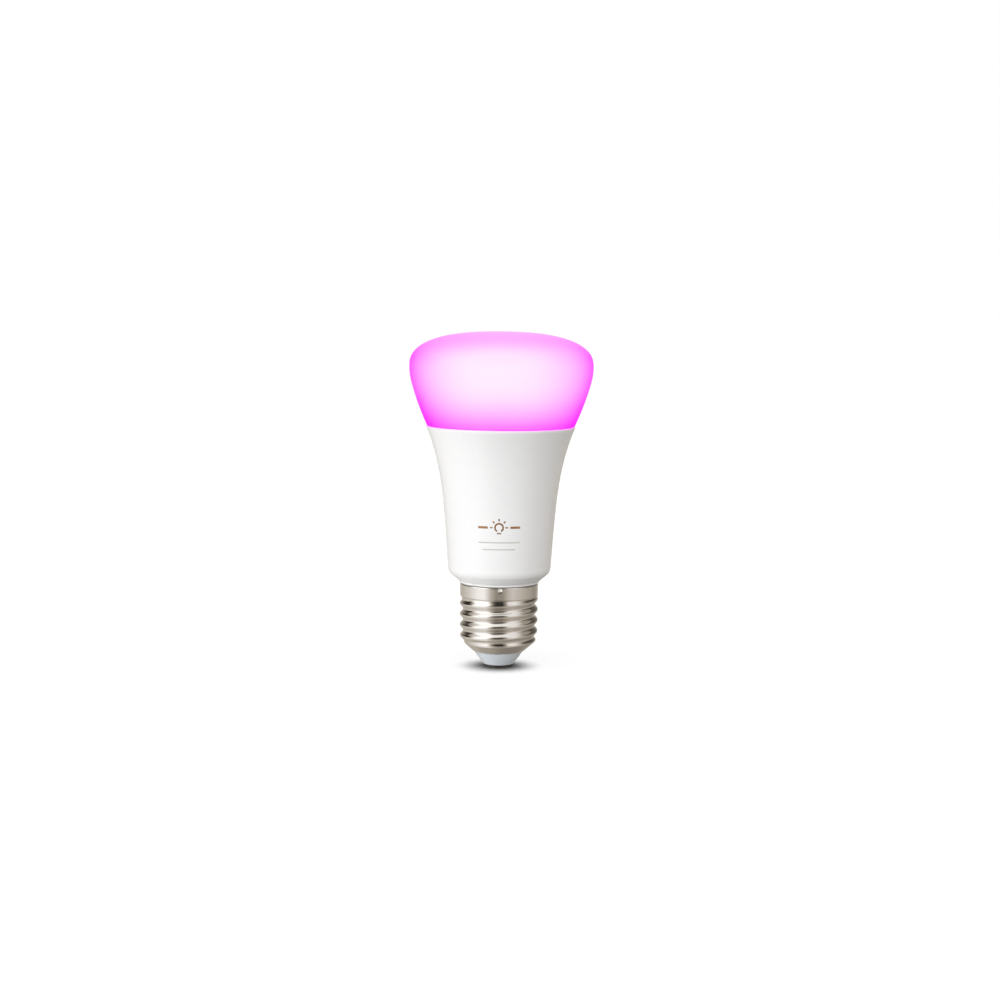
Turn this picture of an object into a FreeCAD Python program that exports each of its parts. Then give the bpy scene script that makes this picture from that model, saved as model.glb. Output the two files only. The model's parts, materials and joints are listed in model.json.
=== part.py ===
"""Smart light bulb with an E27 screw cap, as an assembly of separate solids.

Units are millimetres. +Z runs up the bulb's axis, from the centre contact to the top of the dome, and -Y is
the front. The origin is the middle of the centre contact's flat end, so the bulb stands on z = 0.
Each function below builds one piece, and NODES at the end names them all.
"""

import FreeCAD, Part
import math
import os

V = FreeCAD.Vector
UP = V(0, 0, 1)

# Overall
BULB_HEIGHT = 112.0
DOME_RADIUS = 30.5
SEAM_Z = 80.85  # where the dome's edge sits on the housing's rim
CAP_TOP_Z = 28.42  # top edge of the metal cap
HOUSING_LIP_Z = 28.54  # underside of the housing, just clear of the cap

# Diffuser dome
DOME_WALL = 1.6
DOME_WIDEST_Z = 100.45
DOME_CROWN_POWER = 2.465  # superellipse power of the crown
DOME_SIDE_ARC = 19.9  # radius of the arc just below the widest point
DOME_SIDE_TURN = math.radians(15.4)  # where that arc hands over to the flank
DOME_FLANK_ARC = 92.5
DOME_EDGE_ROUND = 0.5
SPIGOT_OUTER = 22.6  # the dome's skirt that plugs into the housing
SPIGOT_WALL = 1.1
SPIGOT_BOTTOM_Z = 78.0

# Housing: a waist that leans out slightly, then flares to the rim
WAIST_RADIUS = 17.15
WAIST_Z = 34.2
WAIST_LEAN = 0.072
FLARE_START_Z = 40.0
FLARE_TOP_Z = 80.2
FLARE_RISE = 4.18
FLARE_POWER = 3.35
HOUSING_WALL = 1.5
RIM_INNER = 23.1
LEDGE_Z = 76.6  # the step that carries the heat spreader
RIM_ROUND = 0.5  # rounding of the rim's outer edge
LIP_RADIUS = 13.3
LIP_HEIGHT = 0.6
CONE_TOP = (16.25, 31.5)  # r, z where the underside's cone meets its round shoulder
COLLAR_TOP_RADIUS = 12.65
COLLAR_NECK_RADIUS = 12.3  # clears the cap's curled edge
COLLAR_RADIUS = 11.6
COLLAR_BORE = 10.2
COLLAR_BORE_TOP_Z = 27.55
COLLAR_STEP_Z = 24.6
COLLAR_BOTTOM_Z = 11.8

# E27 cap
THREAD_PITCH = 3.629
THREAD_CREST = 13.1
THREAD_ROOT = 12.05
THREAD_TURN_Z = 15.83  # height of a crest on the +X side
SKIRT_RADIUS = 13.0
SKIRT_BOTTOM_Z = 24.4
CAP_WALL = 0.35
THREAD_WALL = 0.3  # the sheet is thinner where the thread is rolled
SKIRT_STEP = 0.03  # step in radius where the plain skirt starts
CURL_ROUND = 0.55  # outer radius of the curled top edge
RIM_Z = 5.3
CONE_RADIUS = 8.6  # radius of the lower cone at RIM_Z, before it softens into the thread
CONE_RISE = 1.2  # dr/dz of the lower cone
CONE_SOFTNESS = 1.6
DENT_Z = 27.1
DENT_TURN = 271.8  # degrees to the front staking dent
DENT_COUNT = 4
DENT_MOUTH = 0.62
DENT_BACK = 0.9
INSULATOR_TOP_Z = 6.9
INSULATOR_TOP_RADIUS = 8.3
INSULATOR_BOTTOM_Z = 0.8
INSULATOR_BOTTOM_RADIUS = 5.15
CONTACT_RADIUS = 4.75
CONTACT_PIN_RADIUS = 1.1
CONTACT_PIN_TOP_Z = 8.8

# Heat path, from the housing inwards
FIT_GAP = 0.15
CUP_WALL = 1.0
CUP_BOTTOM_Z = 35.4
LINER_WALL = 0.8
LINER_TOP_Z = 72.0
LINER_NECK_RADIUS = 10.1
LINER_BOTTOM_Z = 11.6
SPREADER_RADIUS = 22.9
SPREADER_THICK = 1.2
PAD_THICK = 0.3
LED_BOARD_RADIUS = 20.9
LED_BOARD_THICK = 1.5
FILM_THICK = 0.25
SCREW_CIRCLE = 17.6
SCREW_ANGLES = (30, 150, 270)
SCREW_RADIUS = 1.1
SCREW_HEAD_RADIUS = 2.1

# LEDs
WHITE_LED_CIRCLE = 13.5
WHITE_LED_COUNT = 12
COLOUR_LED_CIRCLE = 9.0
COLOUR_LED_COUNT = 6

# Driver and radio boards, both upright
BOARD_HALF = 0.6  # half the driver board's thickness
BOARD_BOTTOM_Z = 12.6
BOARD_TOP_Z = 72.0
RADIO_Y = 4.1
RADIO_THICK = 0.8
RADIO_HALF_WIDTH = 6.0
RADIO_BOTTOM_Z = 57.5
RADIO_TOP_Z = 91.0
HEADER_Y = -2.2
HEADER_PITCH = 2.5

# Parts on the driver board
BULK = (0, -4.8, 17.0)  # x, y and foot of the input capacitor
BULK_TOP_Z = 30.0
OUTPUT = (-6.2, 4.9, 38.2)  # x, y and foot of the output capacitor
OUTPUT_TOP_Z = 50.5
CAN_RADIUS = 4.0
TRANSFORMER_Y = -6.7
TRANSFORMER_Z = 55.0
CHOKE = (5.6, 44.6)  # x and z of the choke's axis
CHOKE_Y = (1.4, 9.0)
CHIPS = ((4.6, 53.2, 5.0, 4.0, 1), (-4.8, 66.0, 5.0, 4.0, 1), (9.2, 66.0, 4.0, 5.0, -1))  # x, z, size, side
CHIP_PARTS = (
    (-10.4, 55.0, 1), (-10.4, 58.5, 1), (-10.4, 62.0, 1), (10.6, 58.0, 1), (10.6, 61.5, 1),
    (-9.4, 49.0, -1), (-9.4, 52.5, -1), (-9.4, 67.0, -1), (9.4, 49.0, -1), (9.4, 52.5, -1),
    (-6.6, 33.0, -1), (6.6, 33.0, -1), (6.0, 27.0, 1), (-1.0, 29.5, 1),
)  # x, z and side of each small chip part

# Levels that follow from the sizes above
SPREADER_TOP_Z = LEDGE_Z + SPREADER_THICK
PAD_TOP_Z = SPREADER_TOP_Z + PAD_THICK
LED_BOARD_TOP_Z = PAD_TOP_Z + LED_BOARD_THICK


# Shape helpers


def box(x0, x1, y0, y1, z0, z1):
    """Box between two corners."""
    return Part.makeBox(x1 - x0, y1 - y0, z1 - z0, V(x0, y0, z0))


def rod(radius, start, end):
    """Round bar between two points."""
    start, end = V(*start), V(*end)
    return Part.makeCylinder(radius, (end - start).Length, start, end - start)


def disc(radius, z0, z1):
    """Round plate about the bulb's axis."""
    return Part.makeCylinder(radius, z1 - z0, V(0, 0, z0))


def polar(radius, degrees):
    """x and y of a point on a circle about the axis."""
    return radius * math.cos(math.radians(degrees)), radius * math.sin(math.radians(degrees))


def line(a, b):
    """Straight edge between two (r, z) points of a half section."""
    return Part.makeLine(V(a[0], 0, a[1]), V(b[0], 0, b[1]))


def lines(*points):
    """Straight edges through (r, z) points."""
    return [line(a, b) for a, b in zip(points, points[1:])]


def arc(a, middle, b):
    """Arc through three (r, z) points."""
    return Part.Arc(*(V(p[0], 0, p[1]) for p in (a, middle, b))).toShape()


def spline(points, start=None, end=None):
    """Smooth edge through (r, z) points, with optional (dr, dz) directions at its ends."""
    curve = Part.BSplineCurve()
    places = [V(r, 0, z) for r, z in points]
    if start is None:
        curve.interpolate(places)
    else:
        curve.interpolate(
            Points=places, InitialTangent=V(start[0], 0, start[1]), FinalTangent=V(end[0], 0, end[1])
        )
    return curve.toShape()


def turned(edges):
    """Solid turned about the bulb's axis from the closed outline that the edges make."""
    wire = Part.Wire(Part.__sortEdges__(edges))
    return Part.Face(wire).revolve(V(0, 0, 0), UP, 360)


def turned_points(*points):
    """Solid turned from a straight-sided outline."""
    return turned(lines(*points, points[0]))


def plate_outline(points, y0, y1):
    """Upright plate in the XZ plane, from its (x, z) corners."""
    corners = [V(x, y0, z) for x, z in points]
    return Part.Face(Part.makePolygon(corners + corners[:1])).extrude(V(0, y1 - y0, 0))


def bent_wire(radius, bend, *points):
    """Round wire along straight runs joined by tangent arcs of one bend radius."""
    places = [V(*p) for p in points]
    edges = []
    here = places[0]
    for before, corner, after in zip(places, places[1:], places[2:]):
        inward = (before - corner).normalize()
        onward = (after - corner).normalize()
        half_turn = (math.pi - inward.getAngle(onward)) / 2
        cut = bend * math.tan(half_turn)
        start, end = corner + inward * cut, corner + onward * cut
        middle_way = (inward + onward).normalize()
        middle = corner + middle_way * (bend / math.cos(half_turn) - bend)
        edges.append(Part.makeLine(here, start))
        edges.append(Part.Arc(start, middle, end).toShape())
        here = end
    edges.append(Part.makeLine(here, places[-1]))
    first_way = (places[1] - places[0]).normalize()
    section = Part.Wire(Part.makeCircle(radius, places[0], first_way))
    return Part.Wire(edges).makePipeShell([section], True, False)


def group(shapes):
    """Several separate solids as one node."""
    return Part.makeCompound([s for shape in shapes for s in shape.Solids])


# Outlines


def dome_outline(inset):
    """(r, z) points of the dome's outer face, moved inwards by inset, from the apex to the edge."""
    crown_height = BULB_HEIGHT - DOME_WIDEST_Z
    on_face = []
    for step in range(13):
        turn = math.pi / 2 * step / 12
        r = DOME_RADIUS * math.sin(turn) ** (2 / DOME_CROWN_POWER)
        z = DOME_WIDEST_Z + crown_height * max(0, math.cos(turn)) ** (2 / DOME_CROWN_POWER)
        power = DOME_CROWN_POWER - 1
        slope_r = (r / DOME_RADIUS) ** power / DOME_RADIUS
        slope_z = ((z - DOME_WIDEST_Z) / crown_height) ** power / crown_height
        on_face.append((r, z, math.atan2(slope_z, slope_r)))
    for step in range(1, 4):
        turn = DOME_SIDE_TURN * step / 3
        r = DOME_RADIUS - DOME_SIDE_ARC * (1 - math.cos(turn))
        on_face.append((r, DOME_WIDEST_Z - DOME_SIDE_ARC * math.sin(turn), -turn))
    side_r, side_z, _ = on_face[-1]
    centre_r = side_r - DOME_FLANK_ARC * math.cos(DOME_SIDE_TURN)
    centre_z = side_z + DOME_FLANK_ARC * math.sin(DOME_SIDE_TURN)
    edge_turn = math.asin((centre_z - SEAM_Z - DOME_EDGE_ROUND) / DOME_FLANK_ARC)
    for step in range(1, 5):
        turn = DOME_SIDE_TURN + (edge_turn - DOME_SIDE_TURN) * step / 4
        r = centre_r + DOME_FLANK_ARC * math.cos(turn)
        on_face.append((r, centre_z - DOME_FLANK_ARC * math.sin(turn), -turn))
    return [(r - inset * math.cos(a), z - inset * math.sin(a)) for r, z, a in on_face]


def housing_radius(z):
    """Radius of the housing's outer face at height z, above its shoulder."""
    flare = max(0.0, (z - FLARE_START_Z) / (FLARE_TOP_Z - FLARE_START_Z))
    return WAIST_RADIUS + WAIST_LEAN * (z - WAIST_Z) + FLARE_RISE * flare**FLARE_POWER


def flared(inset, z0, z1, count=8):
    """(r, z) points of a wall that follows the housing, inset from its outer face."""
    heights = [z0 + (z1 - z0) * i / (count - 1) for i in range(count)]
    return [(housing_radius(z) - inset, z) for z in heights]


# Outer pieces


def diffuser_dome():
    """Frosted mushroom-shaped dome with the skirt that plugs into the housing."""
    outer = dome_outline(0)
    inner = dome_outline(DOME_WALL)
    edge_r, edge_z = outer[-1]
    round_middle = (edge_r - 0.18, SEAM_Z + 0.13)
    round_end = (edge_r - DOME_EDGE_ROUND, SEAM_Z)
    spigot_inner = SPIGOT_OUTER - SPIGOT_WALL
    flank = (outer[-1][0] - outer[-2][0], outer[-1][1] - outer[-2][1])
    inner_flank = (inner[-1][0] - inner[-2][0], inner[-1][1] - inner[-2][1])
    edges = [spline(outer, (1, 0), flank)]
    edges.append(arc(outer[-1], round_middle, round_end))
    edges += lines(
        round_end,
        (SPIGOT_OUTER, SEAM_Z),
        (SPIGOT_OUTER, SPIGOT_BOTTOM_Z),
        (spigot_inner, SPIGOT_BOTTOM_Z),
        (spigot_inner, inner[-1][1]),
        inner[-1],
    )
    edges.append(spline(inner, (1, 0), inner_flank))
    edges.append(line(inner[0], outer[0]))
    return turned(edges)


def dome_adhesive_ring():
    """Silicone bead that bonds the dome's skirt inside the housing's rim."""
    return turned_points(
        (SPIGOT_OUTER, SPIGOT_BOTTOM_Z + 0.3),
        (RIM_INNER, SPIGOT_BOTTOM_Z + 0.3),
        (RIM_INNER, SEAM_Z - 0.3),
        (SPIGOT_OUTER, SEAM_Z - 0.3),
    )


def housing_shell():
    """White plastic body: flared wall, rounded shoulder, and the collar that the cap is staked to."""
    outer = flared(0, WAIST_Z, SEAM_Z - RIM_ROUND)
    rim_r = outer[-1][0]
    rim_middle = (rim_r - 0.29 * RIM_ROUND, SEAM_Z - 0.29 * RIM_ROUND)
    inner = flared(HOUSING_WALL, CUP_BOTTOM_Z - 0.4, LEDGE_Z)
    shoulder_middle = (CONE_TOP[0] + 0.72, CONE_TOP[1] + 1.25)
    neck_z = CAP_TOP_Z - CURL_ROUND - 0.05
    edges = lines(
        (COLLAR_BORE, COLLAR_BOTTOM_Z),
        (COLLAR_RADIUS, COLLAR_BOTTOM_Z),
        (COLLAR_RADIUS, COLLAR_STEP_Z),
        (COLLAR_TOP_RADIUS, COLLAR_STEP_Z),
        (COLLAR_TOP_RADIUS, neck_z),
        (COLLAR_NECK_RADIUS, neck_z),
        (COLLAR_NECK_RADIUS, HOUSING_LIP_Z),
        (LIP_RADIUS, HOUSING_LIP_Z),
        (LIP_RADIUS, HOUSING_LIP_Z + LIP_HEIGHT),
        (LIP_RADIUS + 0.25, HOUSING_LIP_Z + LIP_HEIGHT + 0.05),
        CONE_TOP,
    )
    edges.append(arc(CONE_TOP, shoulder_middle, outer[0]))
    edges.append(spline(outer))
    edges.append(arc(outer[-1], rim_middle, (rim_r - RIM_ROUND, SEAM_Z)))
    edges += lines((rim_r - RIM_ROUND, SEAM_Z), (RIM_INNER, SEAM_Z), (RIM_INNER, LEDGE_Z), inner[-1])
    edges.append(spline(inner))
    edges += lines(
        inner[0],
        (inner[0][0] - 0.35, inner[0][1] - 1.7),
        (COLLAR_BORE, COLLAR_BORE_TOP_Z),
        (COLLAR_BORE, COLLAR_BOTTOM_Z),
    )
    cutters = [dent_pocket(way) for way in dent_ways()]
    cutters.append(box(-COLLAR_RADIUS - 1, -COLLAR_BORE + 1, -0.7, 0.7, COLLAR_BOTTOM_Z - 1, 16.2))
    return turned(edges).cut(Part.makeCompound(cutters))


def dent_ways():
    """Direction from the axis to each staking dent."""
    return [V(*polar(1, DENT_TURN + i * 360 / DENT_COUNT), 0) for i in range(DENT_COUNT)]


def dent_pocket(way):
    """Round pocket in the collar that takes the back of one staking dent."""
    start = way * (SKIRT_RADIUS - 0.1) + V(0, 0, DENT_Z)
    return Part.makeCylinder(DENT_BACK + 0.2, 1.2, start, way * -1)


# E27 cap


def smooth(low, high, value):
    """0 below low, 1 above high, with a smooth step between them."""
    t = min(1.0, max(0.0, (value - low) / (high - low)))
    return t * t * (3 - 2 * t)


def cap_radius(turn, z):
    """Radius of the cap's outer face: the lower cone, the rolled thread and the plain skirt."""
    mean = (THREAD_CREST + THREAD_ROOT) / 2
    depth = (THREAD_CREST - THREAD_ROOT) / 2
    phase = 2 * math.pi * (z - THREAD_TURN_Z) / THREAD_PITCH - turn
    cone = CONE_RADIUS + CONE_RISE * (z - RIM_Z)
    gap = mean - cone
    blend = 0.5 * (cone + mean - math.sqrt(gap * gap + CONE_SOFTNESS))
    threaded = blend + depth * smooth(7.2, 9.8, z) * math.cos(phase)
    rise = 0.45 * smooth(21.9, 23.3, z) + 0.55 * smooth(23.6, 24.2, z)
    return threaded + (SKIRT_RADIUS - SKIRT_STEP - threaded) * rise


def cap_face(inset, z0, z1):
    """B-spline face of revolution with the helical thread in it, cubic and closed round the axis."""
    around, rows = 72, 100
    step = 2 * math.pi / around
    # A cubic spline's face runs a little inside its poles, so the poles stand out by this much.
    round_gain = 3 / (2 + math.cos(step))
    thread_step = 2 * math.pi / THREAD_PITCH * (z1 - z0) / (rows - 3)
    thread_gain = 3 / (2 + math.cos(thread_step))
    knots = [0] * 3 + list(range(rows - 2)) + [rows - 3] * 3
    poles = []
    for i in range(around):
        turn = (i - 1) * step
        column = []
        for j in range(rows):
            share = sum(knots[j + 1 : j + 4]) / 3 / (rows - 3)
            z = z0 + (z1 - z0) * share
            exact = cap_radius(turn, z)
            smoothed = sum(cap_radius(turn + k * math.pi / 4, z) for k in range(8)) / 8
            r = smoothed + (exact - smoothed) * thread_gain - inset
            column.append(V(r * round_gain * math.cos(turn), r * round_gain * math.sin(turn), z))
        poles.append(column)
    surface = Part.BSplineSurface()
    surface.buildFromPolesMultsKnots(
        poles,
        [1] * (around + 1),
        [4] + [1] * (rows - 4) + [4],
        list(range(around + 1)),
        list(range(rows - 2)),
        True,
        False,
        3,
        3,
    )
    return surface.toShape()


def ring_wires(face):
    """The face's two round boundary edges as wires, lowest first."""
    rings = [e for e in face.Edges if e.isClosed() and e.BoundBox.ZLength < 0.01]
    return [Part.Wire(e) for e in sorted(rings, key=lambda e: e.BoundBox.ZMin)]


def cap_skirt():
    """Plain upper part of the cap, with its top edge curled inwards."""
    curl_r = SKIRT_RADIUS - CURL_ROUND
    curl_z = CAP_TOP_Z - CURL_ROUND
    inner_round = CURL_ROUND - CAP_WALL
    lean = math.sqrt(0.5)
    edges = lines(
        (SKIRT_RADIUS - CAP_WALL, curl_z),
        (SKIRT_RADIUS - CAP_WALL, SKIRT_BOTTOM_Z),
        (SKIRT_RADIUS, SKIRT_BOTTOM_Z),
        (SKIRT_RADIUS, curl_z),
    )
    for reach in (CURL_ROUND, inner_round):
        middle = (curl_r + reach * lean, curl_z + reach * lean)
        edges.append(arc((curl_r + reach, curl_z), middle, (curl_r, curl_z + reach)))
    edges.append(line((curl_r, CAP_TOP_Z), (curl_r, curl_z + inner_round)))
    skirt = turned(edges)
    skirt.rotate(V(0, 0, 0), V(0, 0, 1), 45)  # brings the seam between two dents
    return skirt


def cap_shell():
    """Threaded nickel-plated shell of the E27 cap, with its staking dents."""
    outer = cap_face(0, RIM_Z, SKIRT_BOTTOM_Z)
    inner = cap_face(THREAD_WALL, RIM_Z, SKIRT_BOTTOM_Z)
    ends = [Part.Face(a).cut(Part.Face(b)) for a, b in zip(ring_wires(outer), ring_wires(inner))]
    sewn = Part.makeCompound([outer, inner, *ends])
    sewn.sewShape(0.002)
    threaded = Part.makeSolid(sewn.Shells[0])
    if threaded.Volume < 0:
        threaded.reverse()
    shell = threaded.fuse(cap_skirt())
    for way in dent_ways():
        centre = way * (SKIRT_RADIUS + 0.15) + V(0, 0, DENT_Z)
        back = Part.makeSphere(DENT_BACK, centre).common(disc(SKIRT_RADIUS - 0.1, DENT_Z - 2, DENT_Z + 2))
        shell = shell.fuse(back).cut(Part.makeSphere(DENT_MOUTH, centre))
    return shell


def cap_insulator():
    """Pale grey insulating cone between the cap's shell and its centre contact."""
    foot, low = INSULATOR_BOTTOM_Z, INSULATOR_BOTTOM_RADIUS
    shoulder = (INSULATOR_TOP_RADIUS, RIM_Z - 0.3)
    side_foot = (low + 0.05, foot + 0.35)
    belly = ((side_foot[0] + shoulder[0]) / 2 + 0.08, (side_foot[1] + shoulder[1]) / 2 - 0.06)
    neck = CONE_RADIUS - THREAD_WALL - 0.35
    head = neck + CONE_RISE * (INSULATOR_TOP_Z - RIM_Z)
    edges = [line((CONTACT_PIN_RADIUS, foot), (low - 0.35, foot))]
    edges.append(arc((low - 0.35, foot), (low - 0.09, foot + 0.1), side_foot))
    edges.append(arc(side_foot, belly, shoulder))
    edges += lines(
        shoulder,
        (INSULATOR_TOP_RADIUS, RIM_Z),
        (neck, RIM_Z),
        (head, INSULATOR_TOP_Z),
        (CONTACT_PIN_RADIUS, INSULATOR_TOP_Z),
        (CONTACT_PIN_RADIUS, foot),
    )
    return turned(edges)


def centre_contact_pin():
    """Nail-shaped centre contact: flat head under the insulator, pin up through it."""
    head = disc(CONTACT_RADIUS, 0, INSULATOR_BOTTOM_Z)
    rims = [e for e in head.Edges if e.isClosed() and e.BoundBox.ZMax < 0.1]
    head = head.makeFillet(0.35, rims)
    return head.fuse(disc(CONTACT_PIN_RADIUS, 0.5, CONTACT_PIN_TOP_Z)).removeSplitter()


# Wires in the cap


def neutral_wire():
    """Bare-ended wire from the driver board, out through the collar's slot, up against the thread."""
    in_board = [(-6.4, -1.05, 15.0), (-6.4, -1.05, 10.3)]
    at_thread = [(-9.6, 0, 10.3), (-11.22, 0, 10.3), (-11.22, 0, 15.6)]
    return bent_wire(0.42, 0.8, *in_board, *at_thread)


def live_wire():
    """Insulated wire from the driver board to the centre contact."""
    on_pin = (0, 0, CONTACT_PIN_TOP_Z)
    return bent_wire(0.55, 1.0, (2.6, -1.2, 15.0), (2.6, -1.2, 12.0), (0, 0, 10.6), on_pin)


def live_solder_joint():
    """Solder cone that joins the live wire to the contact's pin."""
    joint = Part.makeCone(CONTACT_PIN_RADIUS, 0.7, 0.8, V(0, 0, CONTACT_PIN_TOP_Z))
    return joint.cut(live_wire())


# Heat path


def heat_sink_cup():
    """Drawn aluminium sleeve that carries the LEDs' heat into the housing."""
    inset = HOUSING_WALL + FIT_GAP
    outer = flared(inset, CUP_BOTTOM_Z, LEDGE_Z)
    inner = flared(inset + CUP_WALL, CUP_BOTTOM_Z, LEDGE_Z)
    return turned([spline(outer), line(outer[-1], inner[-1]), spline(inner), line(inner[0], outer[0])])


def screw_places():
    """x and y of each screw of the LED board."""
    return [polar(SCREW_CIRCLE, a) for a in SCREW_ANGLES]


def board_windows(z0, z1, grow=0.0):
    """Openings that the header and the radio board pass through, as cutters."""
    half = 1.5 * HEADER_PITCH + 1.0 + grow
    header = box(-half, half, HEADER_Y - 1.0 - grow, HEADER_Y + 1.0 + grow, z0, z1)
    radio_half = RADIO_HALF_WIDTH + 0.4 + grow
    slot = box(-radio_half, radio_half, RADIO_Y - 0.3 - grow, RADIO_Y + RADIO_THICK + 0.3 + grow, z0, z1)
    return [header, slot]


def heat_spreader_plate():
    """Aluminium disc on the housing's ledge, with drawn bosses for the screws."""
    plate = disc(SPREADER_RADIUS, LEDGE_Z, SPREADER_TOP_Z)
    bosses = []
    cutters = board_windows(LEDGE_Z - 1, SPREADER_TOP_Z + 1, 0.5)
    for x, y in screw_places():
        bosses.append(rod(SCREW_RADIUS + 0.9, (x, y, LEDGE_Z - 2.2), (x, y, LEDGE_Z + 0.4)))
        cutters.append(rod(SCREW_RADIUS, (x, y, LEDGE_Z - 4), (x, y, LED_BOARD_TOP_Z)))
    return plate.multiFuse(bosses).cut(Part.makeCompound(cutters))


def round_board(radius, z0, z1, screw_hole, grow):
    """Round plate with the screws' holes and the two windows."""
    holes = [rod(screw_hole, (x, y, z0 - 1), (x, y, z1 + 1)) for x, y in screw_places()]
    return disc(radius, z0, z1).cut(Part.makeCompound(holes + board_windows(z0 - 1, z1 + 1, grow)))


def thermal_pad():
    """Soft pad between the spreader and the LED board."""
    return round_board(LED_BOARD_RADIUS - 0.5, SPREADER_TOP_Z, PAD_TOP_Z, 1.6, 0.4)


def led_board():
    """Aluminium-core board that carries the LEDs."""
    return round_board(LED_BOARD_RADIUS, PAD_TOP_Z, LED_BOARD_TOP_Z, 1.35, 0.0)


def reflector_film():
    """White reflecting film on the LED board, pierced for the parts that stand on it."""
    film_top = LED_BOARD_TOP_Z + FILM_THICK
    film = round_board(LED_BOARD_RADIUS - 0.3, LED_BOARD_TOP_Z, film_top, SCREW_HEAD_RADIUS + 0.3, 0.6)
    cutters = []
    for block in white_led_blocks(0, 1) + colour_led_blocks(0, 1) + [thermistor_block()]:
        x, y, _ = block.BoundBox.Center
        reach = max(math.hypot(v.X - x, v.Y - y) for v in block.Vertexes) + 0.1
        cutters.append(rod(reach, (x, y, LED_BOARD_TOP_Z - 1), (x, y, film_top + 1)))
    return film.cut(Part.makeCompound(cutters))


def led_board_screws():
    """Three pan-head screws with a cross recess, as separate solids."""
    made = []
    for x, y in screw_places():
        head = rod(SCREW_HEAD_RADIUS, (x, y, LED_BOARD_TOP_Z), (x, y, LED_BOARD_TOP_Z + 1.5))
        rims = [e for e in head.Edges if e.isClosed() and e.BoundBox.ZMin > LED_BOARD_TOP_Z + 1]
        head = head.makeFillet(0.6, rims)
        shank = rod(SCREW_RADIUS, (x, y, LEDGE_Z - 3.2), (x, y, LED_BOARD_TOP_Z + 0.5))
        tip = Part.makeCone(0.5, SCREW_RADIUS, 0.8, V(x, y, LEDGE_Z - 4.0))
        z0, z1 = LED_BOARD_TOP_Z + 0.8, LED_BOARD_TOP_Z + 2
        cross = box(x - 1.1, x + 1.1, y - 0.25, y + 0.25, z0, z1)
        cross = cross.fuse(box(x - 0.25, x + 0.25, y - 1.1, y + 1.1, z0, z1))
        made.append(head.fuse(shank).fuse(tip).cut(cross).removeSplitter())
    return group(made)


# LEDs


def led_block(circle, degrees, long_side, short_side, z0, z1):
    """LED-sized block on a circle, its long side along the radius."""
    block = box(-long_side / 2, long_side / 2, -short_side / 2, short_side / 2, z0, z1)
    x, y = polar(circle, degrees)
    block.rotate(V(0, 0, 0), UP, degrees)
    block.translate(V(x, y, 0))
    return block


def white_led_blocks(shrink, height):
    """Blocks the size of the white LEDs, shrunk all round, standing on the LED board."""
    step = 360 / WHITE_LED_COUNT
    z0 = LED_BOARD_TOP_Z
    return [
        led_block(WHITE_LED_CIRCLE, step * (i + 0.5), 3.5 - shrink, 2.8 - shrink, z0, z0 + height)
        for i in range(WHITE_LED_COUNT)
    ]


def colour_led_blocks(shrink, height):
    """Blocks the size of the colour LEDs, shrunk all round, standing on the LED board."""
    step = 360 / COLOUR_LED_COUNT
    z0 = LED_BOARD_TOP_Z
    return [
        led_block(COLOUR_LED_CIRCLE, step * i, 3.2 - shrink, 3.2 - shrink, z0, z0 + height)
        for i in range(COLOUR_LED_COUNT)
    ]


def framed(outers, inners):
    """Each outer block with its inner block cut out of the top, leaving a floor."""
    made = []
    for outer, inner in zip(outers, inners):
        inner.translate(V(0, 0, 0.25))
        made.append(outer.cut(inner))
    return group(made)


def white_led_packages():
    """Plastic frames of the white LEDs."""
    return framed(white_led_blocks(0, 0.7), white_led_blocks(0.8, 0.7))


def white_led_phosphors():
    """Yellow phosphor that fills each white LED's frame."""
    filled = white_led_blocks(0.8, 0.45)
    for block in filled:
        block.translate(V(0, 0, 0.25))
    return group(filled)


def colour_led_packages():
    """Ceramic frames of the red, green and blue LEDs."""
    return framed(colour_led_blocks(0, 0.9), colour_led_blocks(0.9, 0.9))


def colour_led_lenses():
    """Clear fill of each colour LED, slightly domed."""
    made = []
    for block in colour_led_blocks(0.9, 0.65):
        block.translate(V(0, 0, 0.25))
        centre = block.BoundBox.Center
        cap = Part.makeSphere(2.2, V(centre.x, centre.y, LED_BOARD_TOP_Z + 0.9 + 0.25 - 2.2))
        made.append(block.fuse(cap.common(rod(1.1, (centre.x, centre.y, 80), (centre.x, centre.y, 82)))))
    return group(made)


def thermistor_block():
    """Chip thermistor between two white LEDs."""
    return box(-0.8, 0.8, -11.9, -11.1, LED_BOARD_TOP_Z, LED_BOARD_TOP_Z + 0.5)


# Board-to-board header


def header_places():
    """x of each header pin."""
    return [(i - 1.5) * HEADER_PITCH for i in range(4)]


def led_header_pins():
    """Angled square pins from the driver board up to the LED board's socket."""
    made = []
    for x in header_places():
        upright = box(x - 0.3, x + 0.3, HEADER_Y - 0.3, HEADER_Y + 0.3, 68.4, 82.4)
        tail = box(x - 0.3, x + 0.3, HEADER_Y + 0.3, BOARD_HALF + 0.6, 68.4, 69.0)
        made.append(upright.fuse(tail).removeSplitter())
    return group(made)


def led_header_block():
    """Plastic strip that holds the header pins on the driver board."""
    half = 1.5 * HEADER_PITCH + 1.1
    return box(-half, half, HEADER_Y - 1.1, -BOARD_HALF, 67.6, 70.2).cut(led_header_pins())


def led_header_socket():
    """Socket on the LED board's face that the header pins push into."""
    half = 1.5 * HEADER_PITCH + 1.35
    block = box(-half, half, HEADER_Y - 1.35, HEADER_Y + 1.35, LED_BOARD_TOP_Z, 83.1)
    return block.cut(led_header_pins())


# Radio board


def radio_pin_bars():
    """Pins that carry the radio board off the driver board."""
    y1 = RADIO_Y + RADIO_THICK + 0.5
    return [box(x - 0.25, x + 0.25, -BOARD_HALF - 0.5, y1, 59.0, 59.5) for x in (-4, -2, 0, 2, 4)]


def radio_header_pins():
    """The radio board's row of pins, as separate solids."""
    return group(radio_pin_bars())


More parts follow.
